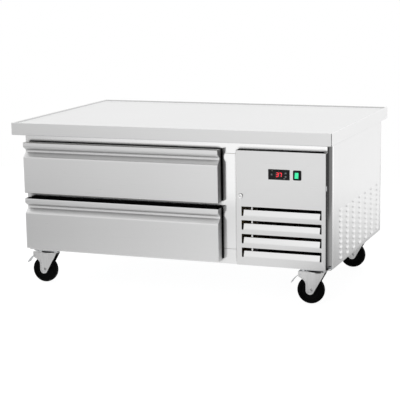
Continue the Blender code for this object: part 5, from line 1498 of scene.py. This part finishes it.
def make_controller():
    """A moulded bezel with a rounded rim round a sunk face, and its body behind the panel."""
    low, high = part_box("controller_housing")
    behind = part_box("service_panel")[0].y
    rim = low.y + FACE_SINK
    crown = [(inset, low.y + setback) for inset, setback in BEZEL_PROFILE]
    seat = behind - SEAT_GAP
    profile = [(crown[0][0], seat), *crown, (crown[-1][0], seat)]
    bezel = framed(profile, (low.x, low.z), (high.x, high.z), "Y")
    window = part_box("controller_window")
    keys = [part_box(key) for key in KEYS]
    back = max(behind, max(key[1].y for key in keys) + KEY_TRAVEL)
    room = Vector((KEY_CLEARANCE, 0, KEY_CLEARANCE))
    holes = [rectangle_of(key[0] - room, key[1] + room) for key in keys]
    inset = Vector((FACE_INSET, 0, FACE_INSET))
    face = prism(rectangle_of(low + inset, high - inset), "Y", (rim, back), holes)
    body = block(
        (low.x + CASE_INSET, back, low.z + CASE_INSET),
        (high.x - CASE_INSET, high.y, high.z - CASE_INSET),
        CASE_EDGE,
    )
    add_piece(
        "controller_case",
        gather([bezel, face, body]),
        "black_abs",
        "service_panel",
        ["controller_housing"],
    )
    pane = block(
        (window[0].x, rim - PANE_HALF, window[0].z),
        (window[1].x, rim + PANE_HALF, window[1].z),
        PANE_EDGE,
        1,
    )
    add_piece(
        "display_window",
        pane,
        "window_acrylic",
        "service_panel",
        ["controller_window"],
    )


def make_face_marks():
    """Printed marks on the controller's face: a snow crystal, a lamp dot and a short bar."""
    low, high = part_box("controller_housing")
    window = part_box("controller_window")
    above = (window[1].z + high.z) / 2
    crystal = Vector((low.x + MARK_INSET, above))
    span = [low.y + setback for setback in MARK_SPAN]
    parts = []
    for turn in (math.radians(angle) for angle in (0, 60, 120)):
        arm = Vector((math.cos(turn), math.sin(turn))) * MARK_REACH
        parts.append(segment(crystal - arm, crystal + arm, MARK_WIDTH, span))
    lamp = Vector(((window[0].x + window[1].x) / 2, above))
    bar = Vector((high.x - MARK_INSET * BAR_INSET_SHARE, (window[0].z + low.z) / 2))
    for mark, share in ((lamp, LAMP_REACH_SHARE), (bar, BAR_REACH_SHARE)):
        across = Vector((MARK_REACH * share, 0))
        parts.append(segment(mark - across, mark + across, MARK_WIDTH * BROAD_MARK_SHARE, span))
    add_piece("controller_marks", gather(parts), "white_abs", "service_panel")


def segment(start, end, thickness, span):
    """One bar of a digit, pointed at both ends."""
    start, end = Vector(start), Vector(end)
    along = (end - start).normalized()
    across = Vector((-along.y, along.x)) * thickness / 2
    point = along * thickness / 2
    outline = [
        start,
        start + point + across,
        end - point + across,
        end,
        end - point - across,
        start + point - across,
    ]
    return prism(outline, "Y", span)


def make_digits():
    """Two lit seven-segment digits that read a usual holding temperature."""
    low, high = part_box("controller_window")
    front = low.y + REST_GAP
    span = (front, front + DIGIT_THICKNESS)
    parts = []
    for index, lit in enumerate(("abcdg", "abc")):
        left = low.x + DIGIT_INSET + index * (DIGIT_WIDTH + DIGIT_SPACE)
        right = left + DIGIT_WIDTH
        base = (low.z + high.z) / 2 - DIGIT_HEIGHT / 2
        middle, top = base + DIGIT_HEIGHT / 2, base + DIGIT_HEIGHT
        lean = DIGIT_HEIGHT * DIGIT_LEAN_SHARE
        bars = {
            "a": ((left + lean, top), (right + lean, top)),
            "b": ((right + lean / 2, middle), (right + lean, top)),
            "c": ((right, base), (right + lean / 2, middle)),
            "d": ((left, base), (right, base)),
            "e": ((left, base), (left + lean / 2, middle)),
            "f": ((left + lean / 2, middle), (left + lean, top)),
            "g": ((left + lean / 2, middle), (right + lean / 2, middle)),
        }
        parts += [segment(*bars[name], DIGIT_BAR, span) for name in lit]
    add_piece("lit_digits", gather(parts), "red_digits", "service_panel")


def make_keys():
    """Soft keys with a raised mark: a bar to set, and arrows up and down."""
    for key in KEYS:
        low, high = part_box(key)
        centre = (low + high) / 2
        cap = block((low.x, low.y + REST_GAP, low.z), high, KEY_EDGE)
        add_piece(f"{key}_cap", cap, "grey_abs", key, [key])
        reach = (high.z - low.z) * KEY_MARK_SHARE
        if key == "key_set":
            half = KEY_BAR_HALF
            mark = [(-reach, -half), (reach, -half), (reach, half), (-reach, half)]
        else:
            point = reach if key == "key_up" else -reach
            foot = -point * KEY_ARROW_SHARE
            mark = [(-reach, foot), (reach, foot), (0, point)]
        outline = [(centre.x + x, centre.z + z) for x, z in mark]
        bm = prism(outline, "Y", (low.y, low.y + KEY_MARK_RISE))
        add_piece(f"{key}_mark", bm, "white_abs", key)


def make_switch():
    """A bezel with rounded corners round a lit rocker that bends over its middle."""
    low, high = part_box("switch_bezel")
    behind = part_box("service_panel")[0].y
    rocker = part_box("switch_rocker")
    room = Vector((-ROCKER_LAP, 0, ROCKER_END_GAP))
    opening = rectangle_of(rocker[0] - room, rocker[1] + room)
    outline = rounded(rectangle_of(low, high), SWITCH_CORNER)
    bezel = prism(outline, "Y", (low.y, behind - SEAT_GAP), [opening])
    body = block(
        (low.x + SWITCH_INSET, behind + SWITCH_CASE_SETBACK, low.z + SWITCH_INSET),
        (high.x - SWITCH_INSET, high.y, high.z - SWITCH_INSET),
        CASE_EDGE,
    )
    add_piece(
        "switch_case",
        gather([bezel, body]),
        "black_abs",
        "service_panel",
        ["switch_bezel"],
    )
    middle = (rocker[0].z + rocker[1].z) / 2
    crest = low.y + ROCKER_CREST
    section = [
        (rocker[0].y, rocker[0].z),
        (crest, middle),
        (low.y + ROCKER_SINK, rocker[1].z),
        (rocker[1].y, rocker[1].z - ROCKER_TAPER),
        (rocker[1].y, rocker[0].z + ROCKER_TAPER),
    ]
    span = (rocker[0].x + ROCKER_SIDE_INSET, rocker[1].x - ROCKER_SIDE_INSET)
    bm = prism(rounded(section, ROCKER_CURVE), "X", span, radius=ROCKER_EDGE)
    add_piece("rocker_body", bm, "black_abs", "switch_rocker", ["switch_rocker"])
    base, top = rocker[0].z + ROCKER_MARGIN, rocker[1].z - ROCKER_MARGIN
    lit = [
        (rocker[0].y - LENS_PROUD, base),
        (crest - LENS_PROUD, middle),
        (low.y + ROCKER_SINK - LENS_PROUD, top),
        (low.y + LENS_FOOT, top),
        (low.y + LENS_FOOT, base),
    ]
    span = (rocker[0].x + ROCKER_MARGIN, rocker[1].x - ROCKER_HINGE_MARGIN)
    bm = prism(rounded(lit, LENS_CURVE), "X", span, radius=LENS_EDGE)
    add_piece("rocker_lens", bm, "green_lens", "switch_rocker")


def rectangle_of(low, high):
    """The corners of a box as seen from the front, left to right and up."""
    return [(low.x, low.z), (high.x, low.z), (high.x, high.z), (low.x, high.z)]


def make_lock():
    """A flat lock face with a fine ring groove and a chamfered rim, a keyway, its barrel and the
    cam that hangs from it.
    """
    low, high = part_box("panel_lock")
    radius = (high.x - low.x) / 2
    centre = Vector(((low.x + high.x) / 2, 0, high.z - radius))
    waist, end = radius * BARREL_SHARE, high.y - BARREL_END
    profile = [(radius * share, low.y + setback) for share, setback in LOCK_FACE_SHARES]
    profile += [(waist, low.y + BARREL_SETBACK), (waist, end), (0, end)]
    barrel = revolved(profile, centre, "Y")
    cam = [
        (centre.x - CAM_TOP_HALF, centre.z + CAM_RISE),
        (centre.x + CAM_TOP_HALF, centre.z + CAM_RISE),
        (centre.x + CAM_END_HALF, low.z),
        (centre.x - CAM_END_HALF, low.z),
    ]
    cam = prism(rounded(cam, CAM_CORNER), "Y", (high.y - CAM_SHEET, high.y))
    add_piece(
        "lock_barrel",
        gather([barrel, cam]),
        "buffed_stainless",
        "panel_lock",
        ["panel_lock"],
    )
    # The keyway is a thin black plate on the face, painted shade of the slot
    half = Vector((KEYWAY_HALF_WIDTH, 0, KEYWAY_HALF_HEIGHT))
    keyway = rounded(rectangle_of(centre - half, centre + half), KEYWAY_CORNER)
    keyway = prism(keyway, "Y", [low.y + setback for setback in KEYWAY_SPAN])
    add_piece("lock_keyway", keyway, "black_oxide_and_shade", "panel_lock")


class CHEFBASE_OT_coils(Operator):
    """Stacks the fins of both coils on their copper tubes between end plates"""

    bl_idname = "chef_base.coils"
    bl_label = "Coils"

    def execute(self, context):
        # The condenser's fins are near-black as painted shade deep behind the panel
        make_coil("condenser_coil", CONDENSER_BEND_REACH, CONDENSER_ROWS, "shade_dark_fins")
        make_coil("evaporator_coil", 0.0, EVAPORATOR_ROWS, "fin_stock")
        return {"FINISHED"}


def make_coil(node, bend_reach, rows, finish_name):
    """Thin fins on two columns of tubes, joined in pairs by return bends at the right end."""
    low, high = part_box(node)
    right = high.x - bend_reach
    steps = round((right - low.x) / FIN_PITCH)
    pitch = (right - low.x) / steps
    fins = block(
        (low.x + pitch, low.y + FIN_INSET, low.z + FIN_INSET),
        (low.x + pitch + FIN_SHEET, high.y - FIN_INSET, high.z - FIN_INSET),
    )
    bmesh.ops.spin(
        fins,
        geom=fins.verts[:] + fins.edges[:] + fins.faces[:],
        cent=(0, 0, 0),
        axis=(1, 0, 0),
        dvec=(pitch, 0, 0),
        angle=0,
        steps=steps - 2,
        use_duplicate=True,
    )
    add_piece(f"{node}_fins", fins, finish_name, "cabinet", [node])
    rise = (high.z - low.z) / rows
    tubes = []
    for share in COIL_COLUMN_SHARES:
        y = low.y + (high.y - low.y) * share
        for row in range(rows):
            z = low.z + rise * (row + 0.5)
            profile = [(0, low.x), (COIL_TUBE, low.x), (COIL_TUBE, right), (0, right)]
            tubes.append(revolved(profile, (0, y, z), "X", TUBE_STEPS))
            if bend_reach and row % 2:
                tubes.append(return_bend((right, y, z - rise / 2), rise / 2))
    add_piece(f"{node}_tubes", gather(tubes), "drawn_copper", "cabinet")
    plates = [
        block((low.x, low.y, low.z), (low.x + END_PLATE, high.y, high.z)),
        block((right - END_PLATE, low.y, low.z), (right, high.y, high.z)),
    ]
    add_piece(f"{node}_end_plates", gather(plates), "galvanised_sheet", "cabinet")


def return_bend(place, radius):
    """Half a turn of tube from one row up to the next."""
    bm = bmesh.new()
    across = Matrix.Translation((0, 0, radius)) @ Matrix.Rotation(math.pi / 2, 4, "Y")
    bmesh.ops.create_circle(
        bm, cap_ends=False, segments=TUBE_STEPS, radius=COIL_TUBE, matrix=across
    )
    bmesh.ops.spin(
        bm,
        geom=bm.verts[:] + bm.edges[:],
        cent=(0, 0, 0),
        axis=(0, 1, 0),
        angle=math.pi,
        steps=TUBE_STEPS,
    )
    return settle(bm, "Z", place)


class CHEFBASE_OT_casters(Operator):
    """Presses the forks, turns the wheels and bends the brake levers of the four casters"""

    bl_idname = "chef_base.casters"
    bl_label = "Casters"

    def execute(self, context):
        for corner in CORNERS:
            low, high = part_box(f"{corner}_caster_plate")
            kingpin = Vector(((low.x + high.x) / 2, (low.y + high.y) / 2, high.z))
            axle = kingpin - Vector((CASTER_TRAIL, 0, high.z - WHEEL_RADIUS))
            make_caster_plate(corner, low, high, kingpin)
            make_fork(corner, axle)
            make_wheel(corner, axle)
            if corner.startswith("front"):
                make_brake_lever(corner, axle)
        return {"FINISHED"}


def hexagon_head(centre, across, thickness, axis):
    """A chamfered hexagon head that grows along the axis from its seat, which may be negative."""
    radius = across / math.sqrt(3)
    crown = thickness * HEAD_CROWN_SHARE
    top = radius * HEAD_CHAMFER_SHARE
    profile = [(0, 0), (radius, 0), (radius, crown), (top, thickness), (0, thickness)]
    return revolved(profile, centre, axis, steps=6)


def make_caster_plate(corner, low, high, kingpin):
    """The bolted plate, its four bolts, and the swivel race below it, black also as painted shadow
    between plate and fork.
    """
    bottom = high.z - PLATE_THICKNESS
    outline = [(low.x, low.y), (high.x, low.y), (high.x, high.y), (low.x, high.y)]
    parts = [prism(rounded(outline, PLATE_CORNER), "Z", (bottom, high.z), radius=PLATE_EDGE)]
    for x in (low.x + BOLT_INSET, high.x - BOLT_INSET):
        for y in (low.y + BOLT_INSET, high.y - BOLT_INSET):
            parts.append(hexagon_head((x, y, bottom), BOLT_ACROSS, -BOLT_HEAD, "Z"))
    name = f"{corner}_caster_plate"
    add_piece(f"{name}_bolted", gather(parts), "bright_zinc", "cabinet", [name])
    race = [(radius, bottom - drop) for radius, drop in RACE_PROFILE]
    bm = revolved(race, (kingpin.x, kingpin.y, 0), "Z")
    add_piece(f"{corner}_swivel_race", bm, "black_oxide_and_shade", "cabinet")


def make_fork(corner, axle):
    """Two pressed legs under a crown, each with a stiffening panel, and the axle bolt."""
    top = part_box(f"{corner}_caster_fork")[1].z
    front = axle.x + FORK_FRONT_REACH
    rear = axle.x - FORK_REAR_REACH
    parts = []
    for side in (-1, 1):
        near, far = FORK_INSIDE * side, (FORK_INSIDE + FORK_LEG) * side
        sunk = far - FORK_PRESSING * side
        outline = leg_outline(axle, top, 0)
        parts.append(prism(outline, "Y", (axle.y + near, axle.y + sunk)))
        pressed = leg_outline(axle, top, FORK_MARGIN)
        parts.append(prism(outline, "Y", (axle.y + sunk, axle.y + far), [pressed]))
        seat = Vector((axle.x, axle.y + far, axle.z))
        parts.append(hexagon_head(seat, BOLT_ACROSS, AXLE_HEAD * side, "Y"))
        rise = WASHER_THICKNESS * side
        washer = [(0, 0), (WASHER_RADIUS, 0), (WASHER_RADIUS, rise), (0, rise)]
        parts.append(revolved(washer, seat, "Y", SMALL_STEPS))
    crown = block(
        (rear, axle.y - FORK_INSIDE - FORK_LEG, top - CROWN_THICKNESS),
        (front, axle.y + FORK_INSIDE + FORK_LEG, top),
        CROWN_EDGE,
    )
    dome = [
        (CROWN_RADIUS, -CROWN_THICKNESS),
        (CROWN_RADIUS, 0),
        (CROWN_BORE, 0),
        (CROWN_BORE, -CROWN_THICKNESS),
    ]
    kingpin = Vector((axle.x + CASTER_TRAIL, axle.y, top))
    parts += [crown, revolved(dome, kingpin, "Z", ROUND_STEPS, closed=True)]
    name, fork = f"{corner}_caster_fork", f"{corner}_fork"
    add_piece(f"{name}_pressed", gather(parts), "pressed_zinc", fork, [name])
    half = FORK_INSIDE + FORK_LEG / 2
    shaft = [(0, half), (AXLE_RADIUS, half), (AXLE_RADIUS, -half), (0, -half)]
    bm = revolved(shaft, axle, "Y", SMALL_STEPS)
    add_piece(f"{corner}_axle", bm, "black_oxide_and_shade", fork)


def leg_outline(axle, top, inset):
    """A fork leg from its eye up to the crown, drawn in by the inset."""
    radius = EYE_RADIUS - inset
    eye = [
        (axle.x + radius * math.cos(turn), axle.z + radius * math.sin(turn))
        for turn in (
            math.radians(EYE_START + EYE_SWEEP * step / EYE_STEPS) for step in range(EYE_STEPS + 1)
        )
    ]
    at_front, at_front_foot, at_rear_foot = [inset * share for share in PRESSING_SHARES]
    front = axle.x + FORK_FRONT_REACH - at_front
    rear = axle.x - FORK_REAR_REACH + inset
    corners = [
        (front, top - FORK_FRONT_DROP - at_front_foot),
        (front, top - inset),
        (rear, top - inset),
        (rear, top - FORK_REAR_DROP + at_rear_foot),
        (axle.x - radius, axle.z + FORK_WAIST),
    ]
    return rounded([*eye, *corners], [0.0] * len(eye) + [*FORK_CORNERS])


def make_wheel(corner, axle):
    """A solid rubber tyre with a moulded ring, on a dished plastic core."""
    half = WHEEL_WIDTH / 2
    core = [(radius, half - depth) for radius, depth in CORE_PROFILE]
    name, body = f"{corner}_caster_wheel", f"{corner}_wheel"
    for part, profile, finish_name in (
        ("tyre", TYRE_PROFILE, "solid_rubber"),
        ("core", core, "core_plastic"),
    ):
        bm = revolved(mirrored(profile), axle, "Y", closed=True)
        add_piece(f"{name}_{part}", bm, finish_name, body, [name])


def mirrored(profile):
    """A profile from the axle outwards, and the same mirrored on the far side."""
    return [*profile, *[(radius, -place) for radius, place in reversed(profile)]]


def make_brake_lever(corner, axle):
    """A curved pressed lever that swings on a pin through the fork."""
    pivot = Vector((axle.x - LEVER_PIVOT_BACK, axle.z + LEVER_PIVOT_RISE))
    route = [pivot + Vector(step) for step in LEVER_ROUTE]
    route = rounded(route, LEVER_BEND, closed=False)
    half = LEVER_THICKNESS / 2
    upper, lower = [], []
    for index, place in enumerate(route):
        run = route[min(index + 1, len(route) - 1)] - route[max(index - 1, 0)]
        across = Vector((-run.y, run.x)).normalized() * half
        upper.append(place + across)
        lower.append(place - across)
    span = (axle.y - LEVER_WIDTH / 2, axle.y + LEVER_WIDTH / 2)
    strip = prism([*upper, *reversed(lower)], "Y", span, radius=LEVER_EDGE, segments=1)
    reach = FORK_INSIDE + FORK_LEG
    pin = [(0, reach), (LEVER_PIN, reach), (LEVER_PIN, -reach), (0, -reach)]
    pinned = revolved(pin, (pivot.x, axle.y, pivot.y), "Y", SMALL_STEPS)
    name = f"{corner}_brake_pedal"
    parts = gather([strip, pinned])
    add_piece(f"{name}_lever", parts, "bright_zinc", f"{corner}_brake", [name])


class CHEFBASE_OT_stage(Operator):
    """Sets the floor, the light and the camera"""

    bl_idname = "chef_base.stage"
    bl_label = "Studio"

    def execute(self, context):
        stage = context.scene.chef_base.stage
        add_floor(stage.floor_size)
        light_world()
        add_camera(stage)
        context.scene.view_settings.view_transform = "Standard"
        return {"FINISHED"}


def add_floor(size):
    """A plain pale floor that shows white and keeps a soft shadow; the glow that the metal sees in
    it is graded by place, a painted reflection.
    """
    bm = bmesh.new()
    bmesh.ops.create_grid(bm, x_segments=1, y_segments=1, size=size / 2)
    mesh = bpy.data.meshes.new("studio_floor")
    bm.to_mesh(mesh)
    bm.free()
    white = hex_colour("#F4F4F4")
    material, tree, shader = new_material("pale_floor", white, FLOOR_ROUGHNESS)
    path = add_node(tree, "ShaderNodeLightPath")
    seen = add_node(
        tree,
        "ShaderNodeMath",
        None,
        {0: path.outputs["Is Camera Ray"], 1: path.outputs["Is Transmission Ray"]},
        operation="MAXIMUM",
    )
    shown = add_node(
        tree,
        "ShaderNodeMath",
        None,
        {0: seen.outputs["Value"], 1: path.outputs["Is Glossy Ray"]},
        operation="MAXIMUM",
    )
    place = add_node(tree, "ShaderNodeTexCoord")
    axes = add_node(tree, "ShaderNodeSeparateXYZ", None, {"Vector": place.outputs["Object"]})
    # Painted reflection: the floor's glow for glossy rays, graded by place and by bearing round the
    # front right corner
    front = graded(tree, axes.outputs["X"], size / 2, FLOOR_FRONT_LEVELS)
    back = graded(tree, axes.outputs["Y"], size / 2, FLOOR_BACK_LEVELS)
    behind = add_node(
        tree,
        "ShaderNodeMapRange",
        {"From Min": FLOOR_BLEND[0], "From Max": FLOOR_BLEND[1]},
        {"Value": axes.outputs["Y"]},
    )
    reflected = add_node(
        tree,
        "ShaderNodeMix",
        None,
        {0: behind.outputs["Result"], 2: front, 3: back},
        data_type="FLOAT",
    )
    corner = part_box("front_frame")
    across = add_node(
        tree, "ShaderNodeMath", {1: corner[1].x}, {0: axes.outputs["X"]}, operation="SUBTRACT"
    )
    along = add_node(
        tree, "ShaderNodeMath", {1: corner[0].y}, {0: axes.outputs["Y"]}, operation="SUBTRACT"
    )
    bearing = add_node(
        tree,
        "ShaderNodeMath",
        None,
        {0: along.outputs["Value"], 1: across.outputs["Value"]},
        operation="ARCTAN2",
    )
    levels = [(math.radians(turn), level) for turn, level in FLOOR_SIDE_LEVELS]
    beside = graded(tree, bearing.outputs["Value"], math.pi, levels)
    least = add_node(
        tree, "ShaderNodeMath", None, {0: reflected.outputs[0], 1: beside}, operation="MINIMUM"
    )
    level = add_node(
        tree,
        "ShaderNodeMix",
        {3: FLOOR_SHOWN},
        {0: seen.outputs["Value"], 2: least.outputs["Value"]},
        data_type="FLOAT",
    )
    glow = add_node(
        tree, "ShaderNodeEmission", {"Color": (1, 1, 1, 1)}, {"Strength": level.outputs[0]}
    )
    lit = add_node(tree, "ShaderNodeBsdfDiffuse", {"Color": (*[FLOOR_BOUNCE] * 3, 1)})
    both = add_node(
        tree, "ShaderNodeAddShader", None, {0: glow.outputs["Emission"], 1: lit.outputs["BSDF"]}
    )
    choice = add_node(
        tree,
        "ShaderNodeMixShader",
        None,
        {0: shown.outputs["Value"], 1: shader.outputs["BSDF"], 2: both.outputs["Shader"]},
    )
    output = tree.nodes["Material Output"]
    tree.links.new(choice.outputs["Shader"], output.inputs["Surface"])
    mesh.materials.append(material)
    floor = bpy.data.objects.new("studio_floor", mesh)
    bpy.context.scene.collection.objects.link(floor)


def graded(tree, value, reach, levels):
    """A level that follows a value between stops; the first two stops are the ends."""
    turn = add_node(
        tree, "ShaderNodeMapRange", {"From Min": -reach, "From Max": reach}, {"Value": value}
    )
    ramp = add_node(tree, "ShaderNodeValToRGB", None, {"Fac": turn.outputs["Result"]})
    stops = ramp.color_ramp.elements
    for index, (place, level) in enumerate(levels):
        share = (place + reach) / (2 * reach)
        stop = stops[index] if index < 2 else stops.new(share)
        stop.position = share
        stop.color = (level, level, level, 1)
    return ramp.outputs["Color"]


def light_world():
    """A white studio that darkens towards the room on the side of the camera."""
    world = bpy.data.worlds.new("studio")
    bpy.context.scene.world = world
    world.use_nodes = True
    tree = world.node_tree
    tree.nodes.clear()
    place = add_node(tree, "ShaderNodeTexCoord")
    axes = add_node(tree, "ShaderNodeSeparateXYZ", None, {"Vector": place.outputs["Generated"]})
    bearing = add_node(
        tree,
        "ShaderNodeMath",
        None,
        {0: axes.outputs["Y"], 1: axes.outputs["X"]},
        operation="ARCTAN2",
    )
    levels = [(math.radians(turn), level) for turn, level in STUDIO_LEVELS]
    colour = graded(tree, bearing.outputs["Value"], math.pi, levels)
    ceiling = add_node(
        tree,
        "ShaderNodeMapRange",
        {
            "From Min": CEILING_SPAN[0],
            "From Max": CEILING_SPAN[1],
            "To Min": 1.0,
            "To Max": CEILING_LEVEL,
        },
        {"Value": axes.outputs["Z"]},
        interpolation_type="SMOOTHSTEP",
    )
    studio = add_node(
        tree,
        "ShaderNodeBackground",
        None,
        {"Color": colour, "Strength": ceiling.outputs["Result"]},
    )
    white = add_node(tree, "ShaderNodeBackground", {"Color": (1, 1, 1, 1), "Strength": 1.0})
    path = add_node(tree, "ShaderNodeLightPath")
    shown = add_node(
        tree,
        "ShaderNodeMixShader",
        None,
        {0: path.outputs["Is Camera Ray"], 1: studio.outputs[0], 2: white.outputs[0]},
    )
    output = add_node(tree, "ShaderNodeOutputWorld")
    tree.links.new(shown.outputs["Shader"], output.inputs["Surface"])


def add_camera(stage):
    """A camera at chest height, turned to the left and tilted down."""
    turn, tilt, roll = stage.camera_turn
    data = bpy.data.cameras.new("studio_camera")
    data.sensor_width = 36.0
    data.lens = stage.lens_length
    camera = bpy.data.objects.new("studio_camera", data)
    upright = Matrix.Rotation(math.pi / 2, 4, "X")
    aim = Matrix.Rotation(turn, 4, "Z") @ Matrix.Rotation(tilt, 4, "X") @ upright
    camera.matrix_world = (
        Matrix.Translation(stage.camera_place) @ aim @ Matrix.Rotation(roll, 4, "Z")
    )
    bpy.context.scene.collection.objects.link(camera)
    bpy.context.scene.camera = camera


OPERATORS = (
    CHEFBASE_OT_node_finishes,
    CHEFBASE_OT_worktop,
    CHEFBASE_OT_front_frame,
    CHEFBASE_OT_drawers,
    CHEFBASE_OT_side_panel,
    CHEFBASE_OT_service_panel,
    CHEFBASE_OT_controls,
    CHEFBASE_OT_coils,
    CHEFBASE_OT_casters,
    CHEFBASE_OT_stage,
)


class CHEFBASE_PT_sidebar(Panel):
    """Lists the pieces and the sizes and colours that can be changed"""

    bl_label = "Chef Base"
    bl_idname = "CHEFBASE_PT_sidebar"
    bl_space_type = "VIEW_3D"
    bl_region_type = "UI"
    bl_category = "Chef Base"

    def draw(self, context):
        settings = context.scene.chef_base
        for group in (settings.finishes, settings.stage):
            for name in group.__annotations__:
                self.layout.prop(group, name)
        for operator in OPERATORS:
            self.layout.operator(operator.bl_idname)


CLASSES = (
    ChefBaseFinishes,
    ChefBaseStage,
    ChefBaseSettings,
    *OPERATORS,
    CHEFBASE_PT_sidebar,
)


def register():
    for cls in CLASSES:
        bpy.utils.register_class(cls)
    bpy.types.Scene.chef_base = PointerProperty(type=ChefBaseSettings)


def unregister():
    del bpy.types.Scene.chef_base
    for cls in reversed(CLASSES):
        bpy.utils.unregister_class(cls)


def main():
    register()
    for operator in OPERATORS:
        group, name = operator.bl_idname.split(".")
        getattr(getattr(bpy.ops, group), name)()


if __name__ == "__main__":
    main()
